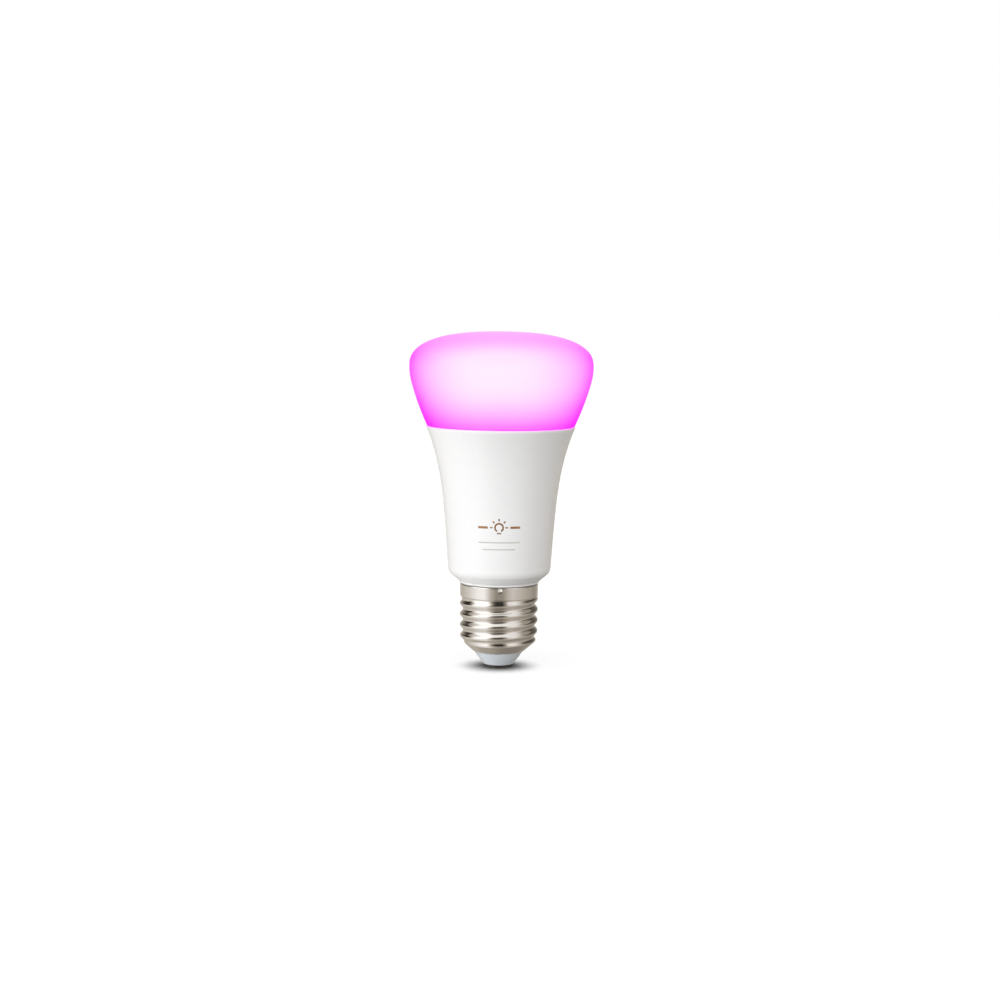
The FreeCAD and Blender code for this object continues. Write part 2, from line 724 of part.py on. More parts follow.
def radio_board():
    """Thin upright board whose top rises through the LED board into the dome."""
    half = RADIO_HALF_WIDTH
    plate = box(-half, half, RADIO_Y, RADIO_Y + RADIO_THICK, RADIO_BOTTOM_Z, RADIO_TOP_Z)
    return plate.cut(Part.makeCompound(radio_pin_bars()))


def radio_shield_can():
    """Pressed metal can over the radio chip."""
    face = RADIO_Y + RADIO_THICK
    outer = box(-4.6, 4.6, face, face + 2.0, 61.2, 72.0)
    return outer.cut(box(-4.4, 4.4, face - 1, face + 1.8, 61.4, 71.8))


def radio_chip():
    """Radio and processor chip under the can."""
    face = RADIO_Y + RADIO_THICK
    return box(-2.5, 2.5, face, face + 0.9, 64.0, 69.0)


def radio_crystal():
    """Crystal beside the radio chip."""
    face = RADIO_Y + RADIO_THICK
    return box(-1.25, 1.25, face, face + 0.6, 62.0, 63.6)


def antenna_trace():
    """Folded copper antenna on the part of the radio board inside the dome."""
    y0 = RADIO_Y + RADIO_THICK
    y1 = y0 + 0.06
    bars = [box(-5.2, -4.6, y0, y1, 81.4, 90.2), box(-3.4, -2.8, y0, y1, 81.4, 90.2)]
    for i in range(5):
        x = -4.6 + 1.8 * i
        level = 89.6 if i % 2 == 0 else 84.6
        bars.append(box(x - 0.6, x + 1.8, y0, y1, level, level + 0.6))
        bars.append(box(x + 1.2, x + 1.8, y0, y1, 84.6, 90.2))
    return bars[0].multiFuse(bars[1:]).removeSplitter()


# Driver


def driver_liner():
    """Insulating plastic sleeve round the driver, with rails that grip its board."""
    inset = HOUSING_WALL + FIT_GAP + CUP_WALL + FIT_GAP
    outer = flared(inset, CUP_BOTTOM_Z + 0.2, LINER_TOP_Z)
    inner = flared(inset + LINER_WALL, CUP_BOTTOM_Z + 0.2, LINER_TOP_Z)
    neck_inner = LINER_NECK_RADIUS - LINER_WALL
    low_outer = [(LINER_NECK_RADIUS, LINER_BOTTOM_Z), (LINER_NECK_RADIUS, 28.2), outer[0]]
    low_inner = [(neck_inner, LINER_BOTTOM_Z), (neck_inner, 28.6), inner[0]]
    outside = lines(*low_outer) + [spline(outer)]
    inside = lines(*low_inner) + [spline(inner)]
    sleeve = turned(outside + [line(outer[-1], inner[-1])] + inside + [line(low_inner[0], low_outer[0])])
    top, bottom = (0, LINER_TOP_Z), (0, LINER_BOTTOM_Z)
    envelope = turned(outside + lines(outer[-1], top, bottom, low_outer[0]))
    rails = []
    for side in (-1, 1):
        for face in (-1, 1):
            x0, x1 = sorted((side * 12.0, side * 16.0))
            y0, y1 = sorted((face * (BOARD_HALF + 0.05), face * (BOARD_HALF + 0.9)))
            rails.append(box(x0, x1, y0, y1, 37, 46).common(envelope))
    return sleeve.multiFuse(rails).removeSplitter()


def board_blank():
    """Driver board's outline: narrow in the cap, wide in the housing."""
    corners = [(-8.7, BOARD_BOTTOM_Z), (8.7, BOARD_BOTTOM_Z), (8.7, 28.6), (12.3, 34.8), (12.8, 44.0)]
    corners += [(12.8, BOARD_TOP_Z), (-12.8, BOARD_TOP_Z), (-12.8, 44.0), (-12.3, 34.8), (-8.7, 28.6)]
    return plate_outline(corners, -BOARD_HALF, BOARD_HALF)


def driver_board():
    """Upright circuit board, pierced by every leg that is soldered through it."""
    legs = [led_header_pins(), radio_header_pins(), transformer_pins(), film_capacitor_legs()]
    legs += [resistor_legs(), bulk_capacitor_legs(), output_capacitor_legs(), choke_legs(), varistor_legs()]
    return board_blank().cut(Part.makeCompound(legs))


def electrolytic(x, y, z0, z1, radius):
    """Can of an electrolytic capacitor along Z, with its rolled groove and scored end."""
    groove_z = z0 + 1.8
    can = rod(radius, (x, y, z0), (x, y, z1))
    rims = [e for e in can.Edges if e.isClosed() and e.BoundBox.ZMin > z1 - 0.1]
    can = can.makeFillet(0.5, rims)
    groove = Part.makeTorus(radius + 0.15, 0.5, V(x, y, groove_z))
    score = box(x - radius, x + radius, y - 0.15, y + 0.15, z1 - 0.15, z1 + 1)
    bung_seat = rod(radius - 0.5, (x, y, z0 - 1), (x, y, z0 + 1.2))
    return can.cut(Part.makeCompound([groove, score, bung_seat]))


def electrolytic_bung(x, y, z0, radius):
    """Rubber bung that closes the can, pierced by its two legs."""
    bung = rod(radius - 0.5, (x, y, z0), (x, y, z0 + 1.2))
    holes = [rod(0.3, (x + s, y, z0 - 1), (x + s, y, z0 + 2)) for s in (-1.25, 1.25)]
    return bung.cut(Part.makeCompound(holes))


def electrolytic_legs(x, y, z0, board_face):
    """Two legs that leave the bung and bend into the board."""
    past = -board_face * (BOARD_HALF + 0.6)
    legs = []
    for side in (x - 1.25, x + 1.25):
        legs.append(bent_wire(0.3, 0.5, (side, y, z0 + 1.2), (side, y, z0 - 1.4), (side, past, z0 - 1.4)))
    return group(legs)


def bulk_capacitor_can():
    """Input capacitor in the narrow part of the board."""
    return electrolytic(*BULK, BULK_TOP_Z, CAN_RADIUS)


def bulk_capacitor_bung():
    """Rubber bung of the input capacitor."""
    return electrolytic_bung(*BULK, CAN_RADIUS)


def bulk_capacitor_legs():
    """Legs of the input capacitor."""
    return electrolytic_legs(*BULK, -1)


def output_capacitor_can():
    """Output capacitor on the board's back."""
    return electrolytic(*OUTPUT, OUTPUT_TOP_Z, CAN_RADIUS)


def output_capacitor_bung():
    """Rubber bung of the output capacitor."""
    return electrolytic_bung(*OUTPUT, CAN_RADIUS)


def output_capacitor_legs():
    """Legs of the output capacitor."""
    return electrolytic_legs(*OUTPUT, 1)


def transformer_core():
    """Two ferrite E halves, as separate solids that meet at the middle."""
    y0, y1 = TRANSFORMER_Y - 2.9, TRANSFORMER_Y + 2.9
    whole = box(-6.5, 6.5, y0, y1, TRANSFORMER_Z - 6.4, TRANSFORMER_Z + 6.4)
    for x in (-3.25, 3.25):
        whole = whole.cut(box(x - 1.65, x + 1.65, y0 - 1, y1 + 1, TRANSFORMER_Z - 4.6, TRANSFORMER_Z + 4.6))
    lower = box(-9, 9, y0 - 1, y1 + 1, TRANSFORMER_Z - 9, TRANSFORMER_Z)
    return group([whole.common(lower), whole.cut(lower)])


def transformer_bobbin():
    """Plastic former round the core's middle leg, with a rail of pins at each end."""
    y0, y1 = TRANSFORMER_Y - 5.0, TRANSFORMER_Y + 4.6
    z0, z1 = TRANSFORMER_Z - 4.4, TRANSFORMER_Z + 4.4
    spool = box(-2.3, 2.3, TRANSFORMER_Y - 3.6, TRANSFORMER_Y + 3.6, z0, z1)
    pieces = []
    for end in (-1, 1):
        z0, z1 = sorted((TRANSFORMER_Z + end * 3.8, TRANSFORMER_Z + end * 4.4))
        pieces.append(box(-4.7, 4.7, y0, y1, z0, z1))
        z0, z1 = sorted((TRANSFORMER_Z + end * 3.8, TRANSFORMER_Z + end * 8.6))
        pieces.append(box(-4.7, 4.7, TRANSFORMER_Y + 3.0, y1 + 0.6, z0, z1))
    hole = box(-1.6, 1.6, TRANSFORMER_Y - 2.9, TRANSFORMER_Y + 2.9, TRANSFORMER_Z - 9, TRANSFORMER_Z + 9)
    return spool.multiFuse(pieces).cut(hole).cut(transformer_pins()).removeSplitter()


def transformer_winding():
    """Copper winding under its yellow tape, as one block with rounded corners."""
    z0, z1 = TRANSFORMER_Z - 3.75, TRANSFORMER_Z + 3.75
    block = box(-4.4, 4.4, TRANSFORMER_Y - 4.7, TRANSFORMER_Y + 4.4, z0, z1)
    upright = [e for e in block.Edges if e.BoundBox.ZLength > 7]
    core = box(-2.3, 2.3, TRANSFORMER_Y - 3.6, TRANSFORMER_Y + 3.6, z0 - 1, z1 + 1)
    return block.makeFillet(1.2, upright).cut(core)


def transformer_pins():
    """Six pins that solder the transformer to the board."""
    y0 = TRANSFORMER_Y + 3.6
    return group(
        rod(0.35, (x, y0, TRANSFORMER_Z + end * 7.6), (x, BOARD_HALF + 0.6, TRANSFORMER_Z + end * 7.6))
        for end in (-1, 1)
        for x in (-3.4, 0, 3.4)
    )


def choke_core():
    """Drum-shaped ferrite core, its axis square to the board."""
    x, z = CHOKE
    y0, y1 = CHOKE_Y
    drum = rod(1.9, (x, y0, z), (x, y1, z))
    flanges = [rod(4.0, (x, y0, z), (x, y0 + 1.1, z)), rod(4.0, (x, y1 - 1.1, z), (x, y1, z))]
    return drum.multiFuse(flanges).cut(choke_legs()).removeSplitter()


def choke_winding():
    """Copper winding between the drum's flanges."""
    x, z = CHOKE
    y0, y1 = CHOKE_Y
    return rod(3.5, (x, y0 + 1.1, z), (x, y1 - 1.1, z)).cut(rod(1.9, (x, y0, z), (x, y1, z)))


def choke_legs():
    """Two legs under the choke."""
    x, z = CHOKE
    return group(rod(0.3, (x + s, -BOARD_HALF - 0.6, z), (x + s, CHOKE_Y[0] + 0.7, z)) for s in (-2.5, 2.5))


def film_capacitor():
    """Box-shaped mains filter capacitor."""
    block = box(-5.6, 5.6, -6.9, -BOARD_HALF - 0.7, 36.0, 44.2)
    upright = [e for e in block.Edges if e.BoundBox.YLength > 5]
    return block.makeFillet(0.5, upright).cut(film_capacitor_legs())


def film_capacitor_legs():
    """Two legs of the filter capacitor."""
    return group(rod(0.3, (x, -2.3, 40.1), (x, BOARD_HALF + 0.6, 40.1)) for x in (-3.75, 3.75))


def fusible_resistor():
    """Round-bodied fusible resistor along the board's back."""
    body = rod(1.5, (-4.6, 2.4, 15.6), (-4.6, 2.4, 23.4))
    ends = [rod(1.75, (-4.6, 2.4, z), (-4.6, 2.4, z + 1.7)) for z in (15.2, 22.1)]
    return body.multiFuse(ends).cut(resistor_legs()).removeSplitter()


def resistor_legs():
    """Bent legs of the fusible resistor."""
    past = -BOARD_HALF - 0.5
    return group(
        bent_wire(0.3, 0.6, (-4.6, 2.4, inside), (-4.6, 2.4, outside), (-4.6, past, outside))
        for inside, outside in ((16.0, 13.9), (23.0, 25.2))
    )


def varistor():
    """Disc varistor that clips mains surges."""
    body = rod(3.4, (4.0, 1.2, 20.5), (4.0, 4.0, 20.5))
    rims = [e for e in body.Edges if e.isClosed() and e.BoundBox.YLength < 0.1]
    return body.makeFillet(0.9, rims).cut(varistor_legs())


def varistor_legs():
    """Two legs of the varistor."""
    return group(rod(0.3, (x, -BOARD_HALF - 0.6, 20.5), (x, 2.0, 20.5)) for x in (2.2, 5.8))


def driver_chips():
    """Moulded bodies of the driver's control chips: x, z, width, height and side of each."""
    made = []
    for x, z, wide, high, side in CHIPS:
        y0, y1 = sorted((side * (BOARD_HALF + 0.15), side * (BOARD_HALF + 1.55)))
        made.append(box(x - wide / 2, x + wide / 2, y0, y1, z - high / 2, z + high / 2))
    return group(made)


def driver_chip_legs():
    """Gull-wing legs of those chips, as separate solids."""
    made = []
    for x, z, wide, high, side in CHIPS:
        y0, y1 = sorted((side * BOARD_HALF, side * (BOARD_HALF + 0.15)))
        shank0, shank1 = sorted((side * (BOARD_HALF + 0.15), side * (BOARD_HALF + 0.75)))
        for end in (-1, 1):
            near = x + end * wide / 2
            far = near + end * 1.0
            for i in range(4):
                level = z + (i - 1.5) * 1.0
                x0, x1 = sorted((near + end * 0.3, far))
                foot = box(x0, x1, y0, y1, level - 0.2, level + 0.2)
                x0, x1 = sorted((near, near + end * 0.45))
                rise = box(x0, x1, shank0, shank1, level - 0.2, level + 0.2)
                made.append(foot.fuse(rise).removeSplitter())
    return group(made)


def bridge_rectifier():
    """Moulded bridge rectifier on the board's back."""
    return box(-7.4, -2.6, BOARD_HALF, BOARD_HALF + 2.4, 52.2, 56.2)


def chip_capacitor_bodies():
    """Ceramic bodies of the small surface-mount parts."""
    made = []
    for x, z, side in CHIP_PARTS:
        y0, y1 = sorted((side * BOARD_HALF, side * (BOARD_HALF + 0.8)))
        made.append(box(x - 0.6, x + 0.6, y0, y1, z - 0.55, z + 0.55))
    return group(made)


def chip_capacitor_ends():
    """Tinned ends of those small parts, two to each."""
    made = []
    for x, z, side in CHIP_PARTS:
        y0, y1 = sorted((side * BOARD_HALF, side * (BOARD_HALF + 0.8)))
        for end in (-1, 1):
            x0, x1 = sorted((x + end * 0.6, x + end * 1.0))
            made.append(box(x0, x1, y0, y1, z - 0.55, z + 0.55))
    return group(made)


NODES = {
    "diffuser_dome": diffuser_dome,
    "dome_adhesive_ring": dome_adhesive_ring,
    "housing_shell": housing_shell,
    "heat_sink_cup": heat_sink_cup,
    "heat_spreader_plate": heat_spreader_plate,
    "thermal_pad": thermal_pad,
    "led_board": led_board,
    "reflector_film": reflector_film,
    "white_led_packages": white_led_packages,
    "white_led_phosphors": white_led_phosphors,
    "colour_led_packages": colour_led_packages,
    "colour_led_lenses": colour_led_lenses,
    "led_board_thermistor": thermistor_block,
    "led_board_screws": led_board_screws,
    "led_header_socket": led_header_socket,
    "led_header_pins": led_header_pins,
    "led_header_block": led_header_block,
    "radio_board": radio_board,
    "radio_shield_can": radio_shield_can,
    "radio_chip": radio_chip,
    "radio_crystal": radio_crystal,
    "radio_header_pins": radio_header_pins,
    "antenna_trace": antenna_trace,
    "driver_liner": driver_liner,
    "driver_board": driver_board,
    "bulk_capacitor_can": bulk_capacitor_can,
    "bulk_capacitor_bung": bulk_capacitor_bung,
    "bulk_capacitor_legs": bulk_capacitor_legs,
    "output_capacitor_can": output_capacitor_can,
    "output_capacitor_bung": output_capacitor_bung,
    "output_capacitor_legs": output_capacitor_legs,
    "transformer_core": transformer_core,
    "transformer_bobbin": transformer_bobbin,
    "transformer_winding": transformer_winding,
    "transformer_pins": transformer_pins,
    "choke_core": choke_core,
    "choke_winding": choke_winding,
    "choke_legs": choke_legs,
    "film_capacitor": film_capacitor,
    "film_capacitor_legs": film_capacitor_legs,
    "fusible_resistor": fusible_resistor,
    "fusible_resistor_legs": resistor_legs,
    "varistor": varistor,
    "varistor_legs": varistor_legs,
    "bridge_rectifier": bridge_rectifier,
    "driver_chips": driver_chips,
    "driver_chip_legs": driver_chip_legs,
    "chip_capacitor_bodies": chip_capacitor_bodies,
    "chip_capacitor_ends": chip_capacitor_ends,
    "cap_shell": cap_shell,
    "cap_insulator": cap_insulator,
    "centre_contact_pin": centre_contact_pin,
    "live_wire": live_wire,
    "live_solder_joint": live_solder_joint,
    "neutral_wire": neutral_wire,
}


def main():
    """Builds every piece and writes its STEP file."""
    os.makedirs("parts", exist_ok=True)
    for name, build in NODES.items():
        shape = build()
        shape.exportStep("parts/" + name + ".step")
        good = all(s.isValid() and s.isClosed() and s.Volume > 0 for s in shape.Solids)
        print(f"{name}: {len(shape.Solids)} solids, {shape.Volume:.1f} mm3{'' if good else ', BAD'}")


main()
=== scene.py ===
"""Looks of the smart light bulb: lit dome, white housing, nickel cap, plain studio.

The bulb stands on z = 0 with its axis on Z and its front towards -Y. Sizes are in millimetres until a mesh
is made, and each shape follows the driving dimensions of the CAD part that it stands for.
"""

import json
import math

import bmesh
import bpy
from mathutils import Matrix, Vector


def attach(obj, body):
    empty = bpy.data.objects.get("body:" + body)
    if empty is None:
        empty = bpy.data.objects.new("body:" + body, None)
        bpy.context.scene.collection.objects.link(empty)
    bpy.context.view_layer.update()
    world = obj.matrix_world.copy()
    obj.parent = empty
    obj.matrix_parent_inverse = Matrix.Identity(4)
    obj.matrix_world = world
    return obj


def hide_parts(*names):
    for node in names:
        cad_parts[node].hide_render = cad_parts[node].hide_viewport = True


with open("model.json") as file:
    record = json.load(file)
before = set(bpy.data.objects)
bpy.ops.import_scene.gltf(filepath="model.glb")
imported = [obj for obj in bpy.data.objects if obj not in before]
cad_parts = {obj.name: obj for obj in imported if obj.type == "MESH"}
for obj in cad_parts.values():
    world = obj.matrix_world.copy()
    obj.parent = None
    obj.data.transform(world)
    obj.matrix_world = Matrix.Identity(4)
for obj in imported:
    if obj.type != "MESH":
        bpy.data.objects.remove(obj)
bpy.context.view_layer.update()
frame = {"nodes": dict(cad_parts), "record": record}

MM = 0.001
TURN = 2 * math.pi

# Overall
BULB_HEIGHT = 112.0
SEAM_Z = 80.85
CAP_TOP_Z = 28.42
HOUSING_LIP_Z = 28.54

# Dome
DOME_RADIUS = 30.5
DOME_WALL = 1.6
DOME_WIDEST_Z = 100.45
DOME_CROWN_POWER = 2.465
DOME_SIDE_ARC = 19.9
DOME_SIDE_TURN = math.radians(15.4)
DOME_FLANK_ARC = 92.5
DOME_EDGE_ROUND = 0.5
SPIGOT_OUTER = 22.6
SPIGOT_WALL = 1.1
SPIGOT_BOTTOM_Z = 78.0
SPIGOT_LEAD_IN = 0.25

# Housing
WAIST_RADIUS = 17.15
WAIST_Z = 34.2
WAIST_LEAN = 0.072
FLARE_START_Z = 40.0
FLARE_TOP_Z = 80.2
FLARE_RISE = 4.18
FLARE_POWER = 3.35
HOUSING_WALL = 1.5
SHOULDER_BULGE = (0.72, 1.25)  # from CONE_TOP to the middle of the rounded shoulder
RIM_INNER = 23.1
LEDGE_Z = 76.6
RIM_ROUND = 0.5
LIP_RADIUS = 13.3
LIP_HEIGHT = 0.6
CONE_TOP = (16.25, 31.5)
COLLAR_TOP_RADIUS = 12.65
COLLAR_NECK_RADIUS = 12.3
COLLAR_RADIUS = 11.6
COLLAR_BORE = 10.2
COLLAR_BORE_TOP_Z = 27.55
COLLAR_STEP_Z = 24.6
COLLAR_BOTTOM_Z = 11.8
CUP_BOTTOM_Z = 35.4
ARC_MIDDLE = 1 - math.sqrt(0.5)  # a quarter arc's middle lies this share of its radius inside each side

# E27 cap
THREAD_PITCH = 3.629
THREAD_CREST = 13.1
THREAD_ROOT = 12.05
THREAD_TURN_Z = 15.83
SKIRT_RADIUS = 13.0
CAP_WALL = 0.35
THREAD_WALL = 0.3
CURL_ROUND = 0.55
RIM_Z = 5.3
CONE_RADIUS = 8.6
CONE_RISE = 1.2
CONE_SOFTNESS = 1.6
DENT_Z = 27.5
DENT_TURN = math.radians(271.8)
DENT_COUNT = 4
DENT_DEPTH = 0.45
DENT_FLOOR = 0.12  # radius of the dent's flat floor
DENT_MOUTH = 0.74
DENT_STRETCH = 1.25  # height over width
DENT_BURR = 0.05  # height of the raised edge round the dent
THREAD_FADE_IN = (7.2, 9.8)  # heights between which the thread grows out of the cone
THREAD_STEP = (21.9, 23.3)  # heights where the last groove rises part of the way to the skirt
THREAD_STEP_SHARE = 0.45
SKIRT_EDGE = (23.6, 24.2)  # heights where it rises the rest of the way
INSULATOR_TOP_Z = 6.9
INSULATOR_TOP_RADIUS = 8.15
INSULATOR_BOTTOM_Z = 0.95
INSULATOR_BOTTOM_RADIUS = 5.0
CONTACT_RADIUS = 4.75
CONTACT_PIN_RADIUS = 1.1
CONTACT_PIN_TOP_Z = 8.8


# Curves in the (r, z) plane


def arc_through(a, middle, b, count):
    """Points of the arc through three points, ends included."""
    (ax, ay), (mx, my), (bx, by) = a, middle, b
    d = 2 * (ax * (my - by) + mx * (by - ay) + bx * (ay - my))
    a2, m2, b2 = ax * ax + ay * ay, mx * mx + my * my, bx * bx + by * by
    cx = (a2 * (my - by) + m2 * (by - ay) + b2 * (ay - my)) / d
    cy = (a2 * (bx - mx) + m2 * (ax - bx) + b2 * (mx - ax)) / d
    radius = math.hypot(ax - cx, ay - cy)
    start = math.atan2(ay - cy, ax - cx)
    sweep = (math.atan2(by - cy, bx - cx) - start + math.pi) % TURN - math.pi
    turns = [start + sweep * i / count for i in range(count + 1)]
    return [(cx + radius * math.cos(turn), cy + radius * math.sin(turn)) for turn in turns]


def rounded(corners, radii, count=4):
    """Polyline through the corners, each inner corner rounded with an arc of its radius."""
    points = [corners[0]]
    for i in range(1, len(corners) - 1):
        here, radius = Vector(corners[i]), radii[i]
        if radius == 0:
            points.append(corners[i])
            continue
        back = (Vector(corners[i - 1]) - here).normalized()
        on = (Vector(corners[i + 1]) - here).normalized()
        half = math.acos(max(-1, min(1, back.dot(on)))) / 2
        cut = radius / math.tan(half)
        middle = here + (back + on).normalized() * (radius / math.sin(half) - radius)
        points += arc_through(tuple(here + back * cut), tuple(middle), tuple(here + on * cut), count)
    return points + [corners[-1]]


def dome_face(inset):
    """Points of the dome's face, moved inwards by inset, from the apex to the edge."""
    crown_steps, side_steps, flank_steps = 64, 10, 24
    crown = BULB_HEIGHT - DOME_WIDEST_Z
    face = []
    for step in range(crown_steps + 1):
        turn = math.pi / 2 * step / crown_steps
        r = DOME_RADIUS * math.sin(turn) ** (2 / DOME_CROWN_POWER)
        z = DOME_WIDEST_Z + crown * max(0, math.cos(turn)) ** (2 / DOME_CROWN_POWER)
        slope_r = (r / DOME_RADIUS) ** (DOME_CROWN_POWER - 1) / DOME_RADIUS
        slope_z = ((z - DOME_WIDEST_Z) / crown) ** (DOME_CROWN_POWER - 1) / crown
        face.append((r, z, math.atan2(slope_z, slope_r)))
    for step in range(1, side_steps + 1):
        turn = DOME_SIDE_TURN * step / side_steps
        r = DOME_RADIUS - DOME_SIDE_ARC * (1 - math.cos(turn))
        face.append((r, DOME_WIDEST_Z - DOME_SIDE_ARC * math.sin(turn), -turn))
    side_r, side_z, _ = face[-1]
    centre_r = side_r - DOME_FLANK_ARC * math.cos(DOME_SIDE_TURN)
    centre_z = side_z + DOME_FLANK_ARC * math.sin(DOME_SIDE_TURN)
    edge_turn = math.asin((centre_z - SEAM_Z - DOME_EDGE_ROUND) / DOME_FLANK_ARC)
    for step in range(1, flank_steps + 1):
        turn = DOME_SIDE_TURN + (edge_turn - DOME_SIDE_TURN) * step / flank_steps
        r = centre_r + DOME_FLANK_ARC * math.cos(turn)
        face.append((r, centre_z - DOME_FLANK_ARC * math.sin(turn), -turn))
    return [(max(0, r - inset * math.cos(a)), z - inset * math.sin(a)) for r, z, a in face]


def housing_radius(z):
    """Radius of the housing's outer face at height z, above its shoulder."""
    flare = max(0.0, (z - FLARE_START_Z) / (FLARE_TOP_Z - FLARE_START_Z))
    return WAIST_RADIUS + WAIST_LEAN * (z - WAIST_Z) + FLARE_RISE * flare**FLARE_POWER


def smooth(low, high, value):
    """0 below low, 1 above high, with a smooth step between them."""
    t = min(1.0, max(0.0, (value - low) / (high - low)))
    return t * t * (3 - 2 * t)


def cap_radius(turn, z):
    """Radius of the cap's outer face: the lower cone, the rolled thread and the plain skirt."""
    mean = (THREAD_CREST + THREAD_ROOT) / 2
    depth = (THREAD_CREST - THREAD_ROOT) / 2
    phase = TURN * (z - THREAD_TURN_Z) / THREAD_PITCH - turn
    cone = CONE_RADIUS + CONE_RISE * (z - RIM_Z)
    gap = mean - cone
    blend = 0.5 * (cone + mean - math.sqrt(gap * gap + CONE_SOFTNESS))
    threaded = blend + depth * smooth(*THREAD_FADE_IN, z) * math.cos(phase)
    rise = THREAD_STEP_SHARE * smooth(*THREAD_STEP, z) + (1 - THREAD_STEP_SHARE) * smooth(*SKIRT_EDGE, z)
    return threaded + (SKIRT_RADIUS - threaded) * rise


# Meshes


def piece(name, vertices, faces, material, sharp_degrees=32):
    """A mesh piece from points in millimetres, smooth except along edges sharper than that."""
    mesh = bpy.data.meshes.new(name)
    mesh.from_pydata([(x * MM, y * MM, z * MM) for x, y, z in vertices], [], faces)
    build = bmesh.new()
    build.from_mesh(mesh)
    bmesh.ops.recalc_face_normals(build, faces=build.faces)
    for face in build.faces:
        face.smooth = True
    for edge in build.edges:
        edge.smooth = len(edge.link_faces) != 2 or edge.calc_face_angle() < math.radians(sharp_degrees)
    build.to_mesh(mesh)
    build.free()
    mesh.materials.append(material)
    made = bpy.data.objects.new(name, mesh)
    bpy.context.scene.collection.objects.link(made)
    return made


def turned(name, outline, material, around=256):
    """A piece turned about the axis from a closed outline of (r, z) points; those with r = 0 become poles."""
    vertices, rings = [], []
    for r, z in outline:
        if r < 1e-6:
            rings.append([len(vertices)])
            vertices.append((0, 0, z))
            continue
        rings.append(range(len(vertices), len(vertices) + around))
        for i in range(around):
            turn = TURN * i / around
            vertices.append((r * math.cos(turn), r * math.sin(turn), z))
    faces = []
    for a, b in zip(rings, rings[1:] + rings[:1]):
        if len(a) == 1 and len(b) == 1:
            continue
        for i in range(around):
            j = (i + 1) % around
            if len(a) == 1:
                faces.append((a[0], b[i], b[j]))
            elif len(b) == 1:
                faces.append((a[i], b[0], a[j]))
            else:
                faces.append((a[i], b[i], b[j], a[j]))
    return piece(name, vertices, faces, material)


# Node trees


class Tree:
    """Shorthand for wiring one node tree."""

    def __init__(self, tree):
        self.tree = tree

    def node(self, kind, inputs=None, **settings):
        """A new node, with its settings, and its inputs given as values or as sockets to link from."""
        made = self.tree.nodes.new(kind)
        for key, value in settings.items():
            setattr(made, key, value)
        for key, value in (inputs or {}).items():
            if isinstance(value, bpy.types.NodeSocket):
                self.tree.links.new(value, made.inputs[key])
            else:
                made.inputs[key].default_value = value
        return made

    def math(self, operation, *values):
        """The result of a Math node."""
        return self.node("ShaderNodeMath", dict(enumerate(values)), operation=operation).outputs[0]

    def remap(self, value, low, high, to_low=0.0, to_high=1.0, kind="SMOOTHSTEP"):
        """value mapped from one range to another."""
        made = self.node(
            "ShaderNodeMapRange",
            {"Value": value, "From Min": low, "From Max": high, "To Min": to_low, "To Max": to_high},
            interpolation_type=kind,
        )
        return made.outputs["Result"]

    def mix(self, factor, a, b):
        """Two colours mixed."""
        made = self.node("ShaderNodeMix", data_type="RGBA")
        for index, value in ((0, factor), (6, a), (7, b)):
            if isinstance(value, bpy.types.NodeSocket):
                self.tree.links.new(value, made.inputs[index])
            else:
                made.inputs[index].default_value = value
        return made.outputs[2]

    def choose(self, factor, a, b):
        """Shader a where the factor is 0 and shader b where it is 1."""
        return self.node("ShaderNodeMixShader", {0: factor, 1: a, 2: b}).outputs[0]

    def vector(self, operation, a, b, output="Vector"):
        """The result of a Vector Math node."""
        second = "Scale" if operation == "SCALE" else 1
        return self.node("ShaderNodeVectorMath", {0: a, second: b}, operation=operation).outputs[output]

    def link(self, output, socket):
        """Links an output to a socket."""
        self.tree.links.new(output, socket)

    def ramp(self, factor, stops):
        """Colour ramp through (position, colour) stops."""
        made = self.node("ShaderNodeValToRGB", {"Fac": factor})
        elements = made.color_ramp.elements
        while len(elements) < len(stops):
            elements.new(0.5)
        for element, (position, colour) in zip(elements, stops):
            element.position = position
            element.color = colour
        return made.outputs["Color"]

    def noise(self, where, scale, detail=3.0):
        """Fine-grained noise from 0 to 1 at the points that where gives."""
        inputs = {"Vector": where, "Scale": scale, "Detail": detail, "Roughness": 0.55}
        return self.node("ShaderNodeTexNoise", inputs).outputs["Fac"]

    def stretched(self, where, x, y, z):
        """Points scaled along each axis, so that noise on them runs in streaks."""
        return self.node("ShaderNodeMapping", {"Vector": where, "Scale": (x, y, z)}).outputs[0]


def grey(value):
    """A neutral colour."""
    return (value, value, value, 1.0)


def new_material(name):
    """A material with its tree, its Principled node, and the object's own coordinates."""
    material = bpy.data.materials.new(name)
    material.use_nodes = True
    tree = Tree(material.node_tree)
    shader = material.node_tree.nodes["Principled BSDF"]
    where = tree.node("ShaderNodeTexCoord").outputs["Object"]
    return material, tree, shader, where


def bump(tree, shader, height, strength, distance):
    """Surface relief from a height, distance in metres."""
    made = tree.node("ShaderNodeBump", {"Height": height, "Strength": strength, "Distance": distance})
    tree.link(made.outputs[0], shader.inputs["Normal"])


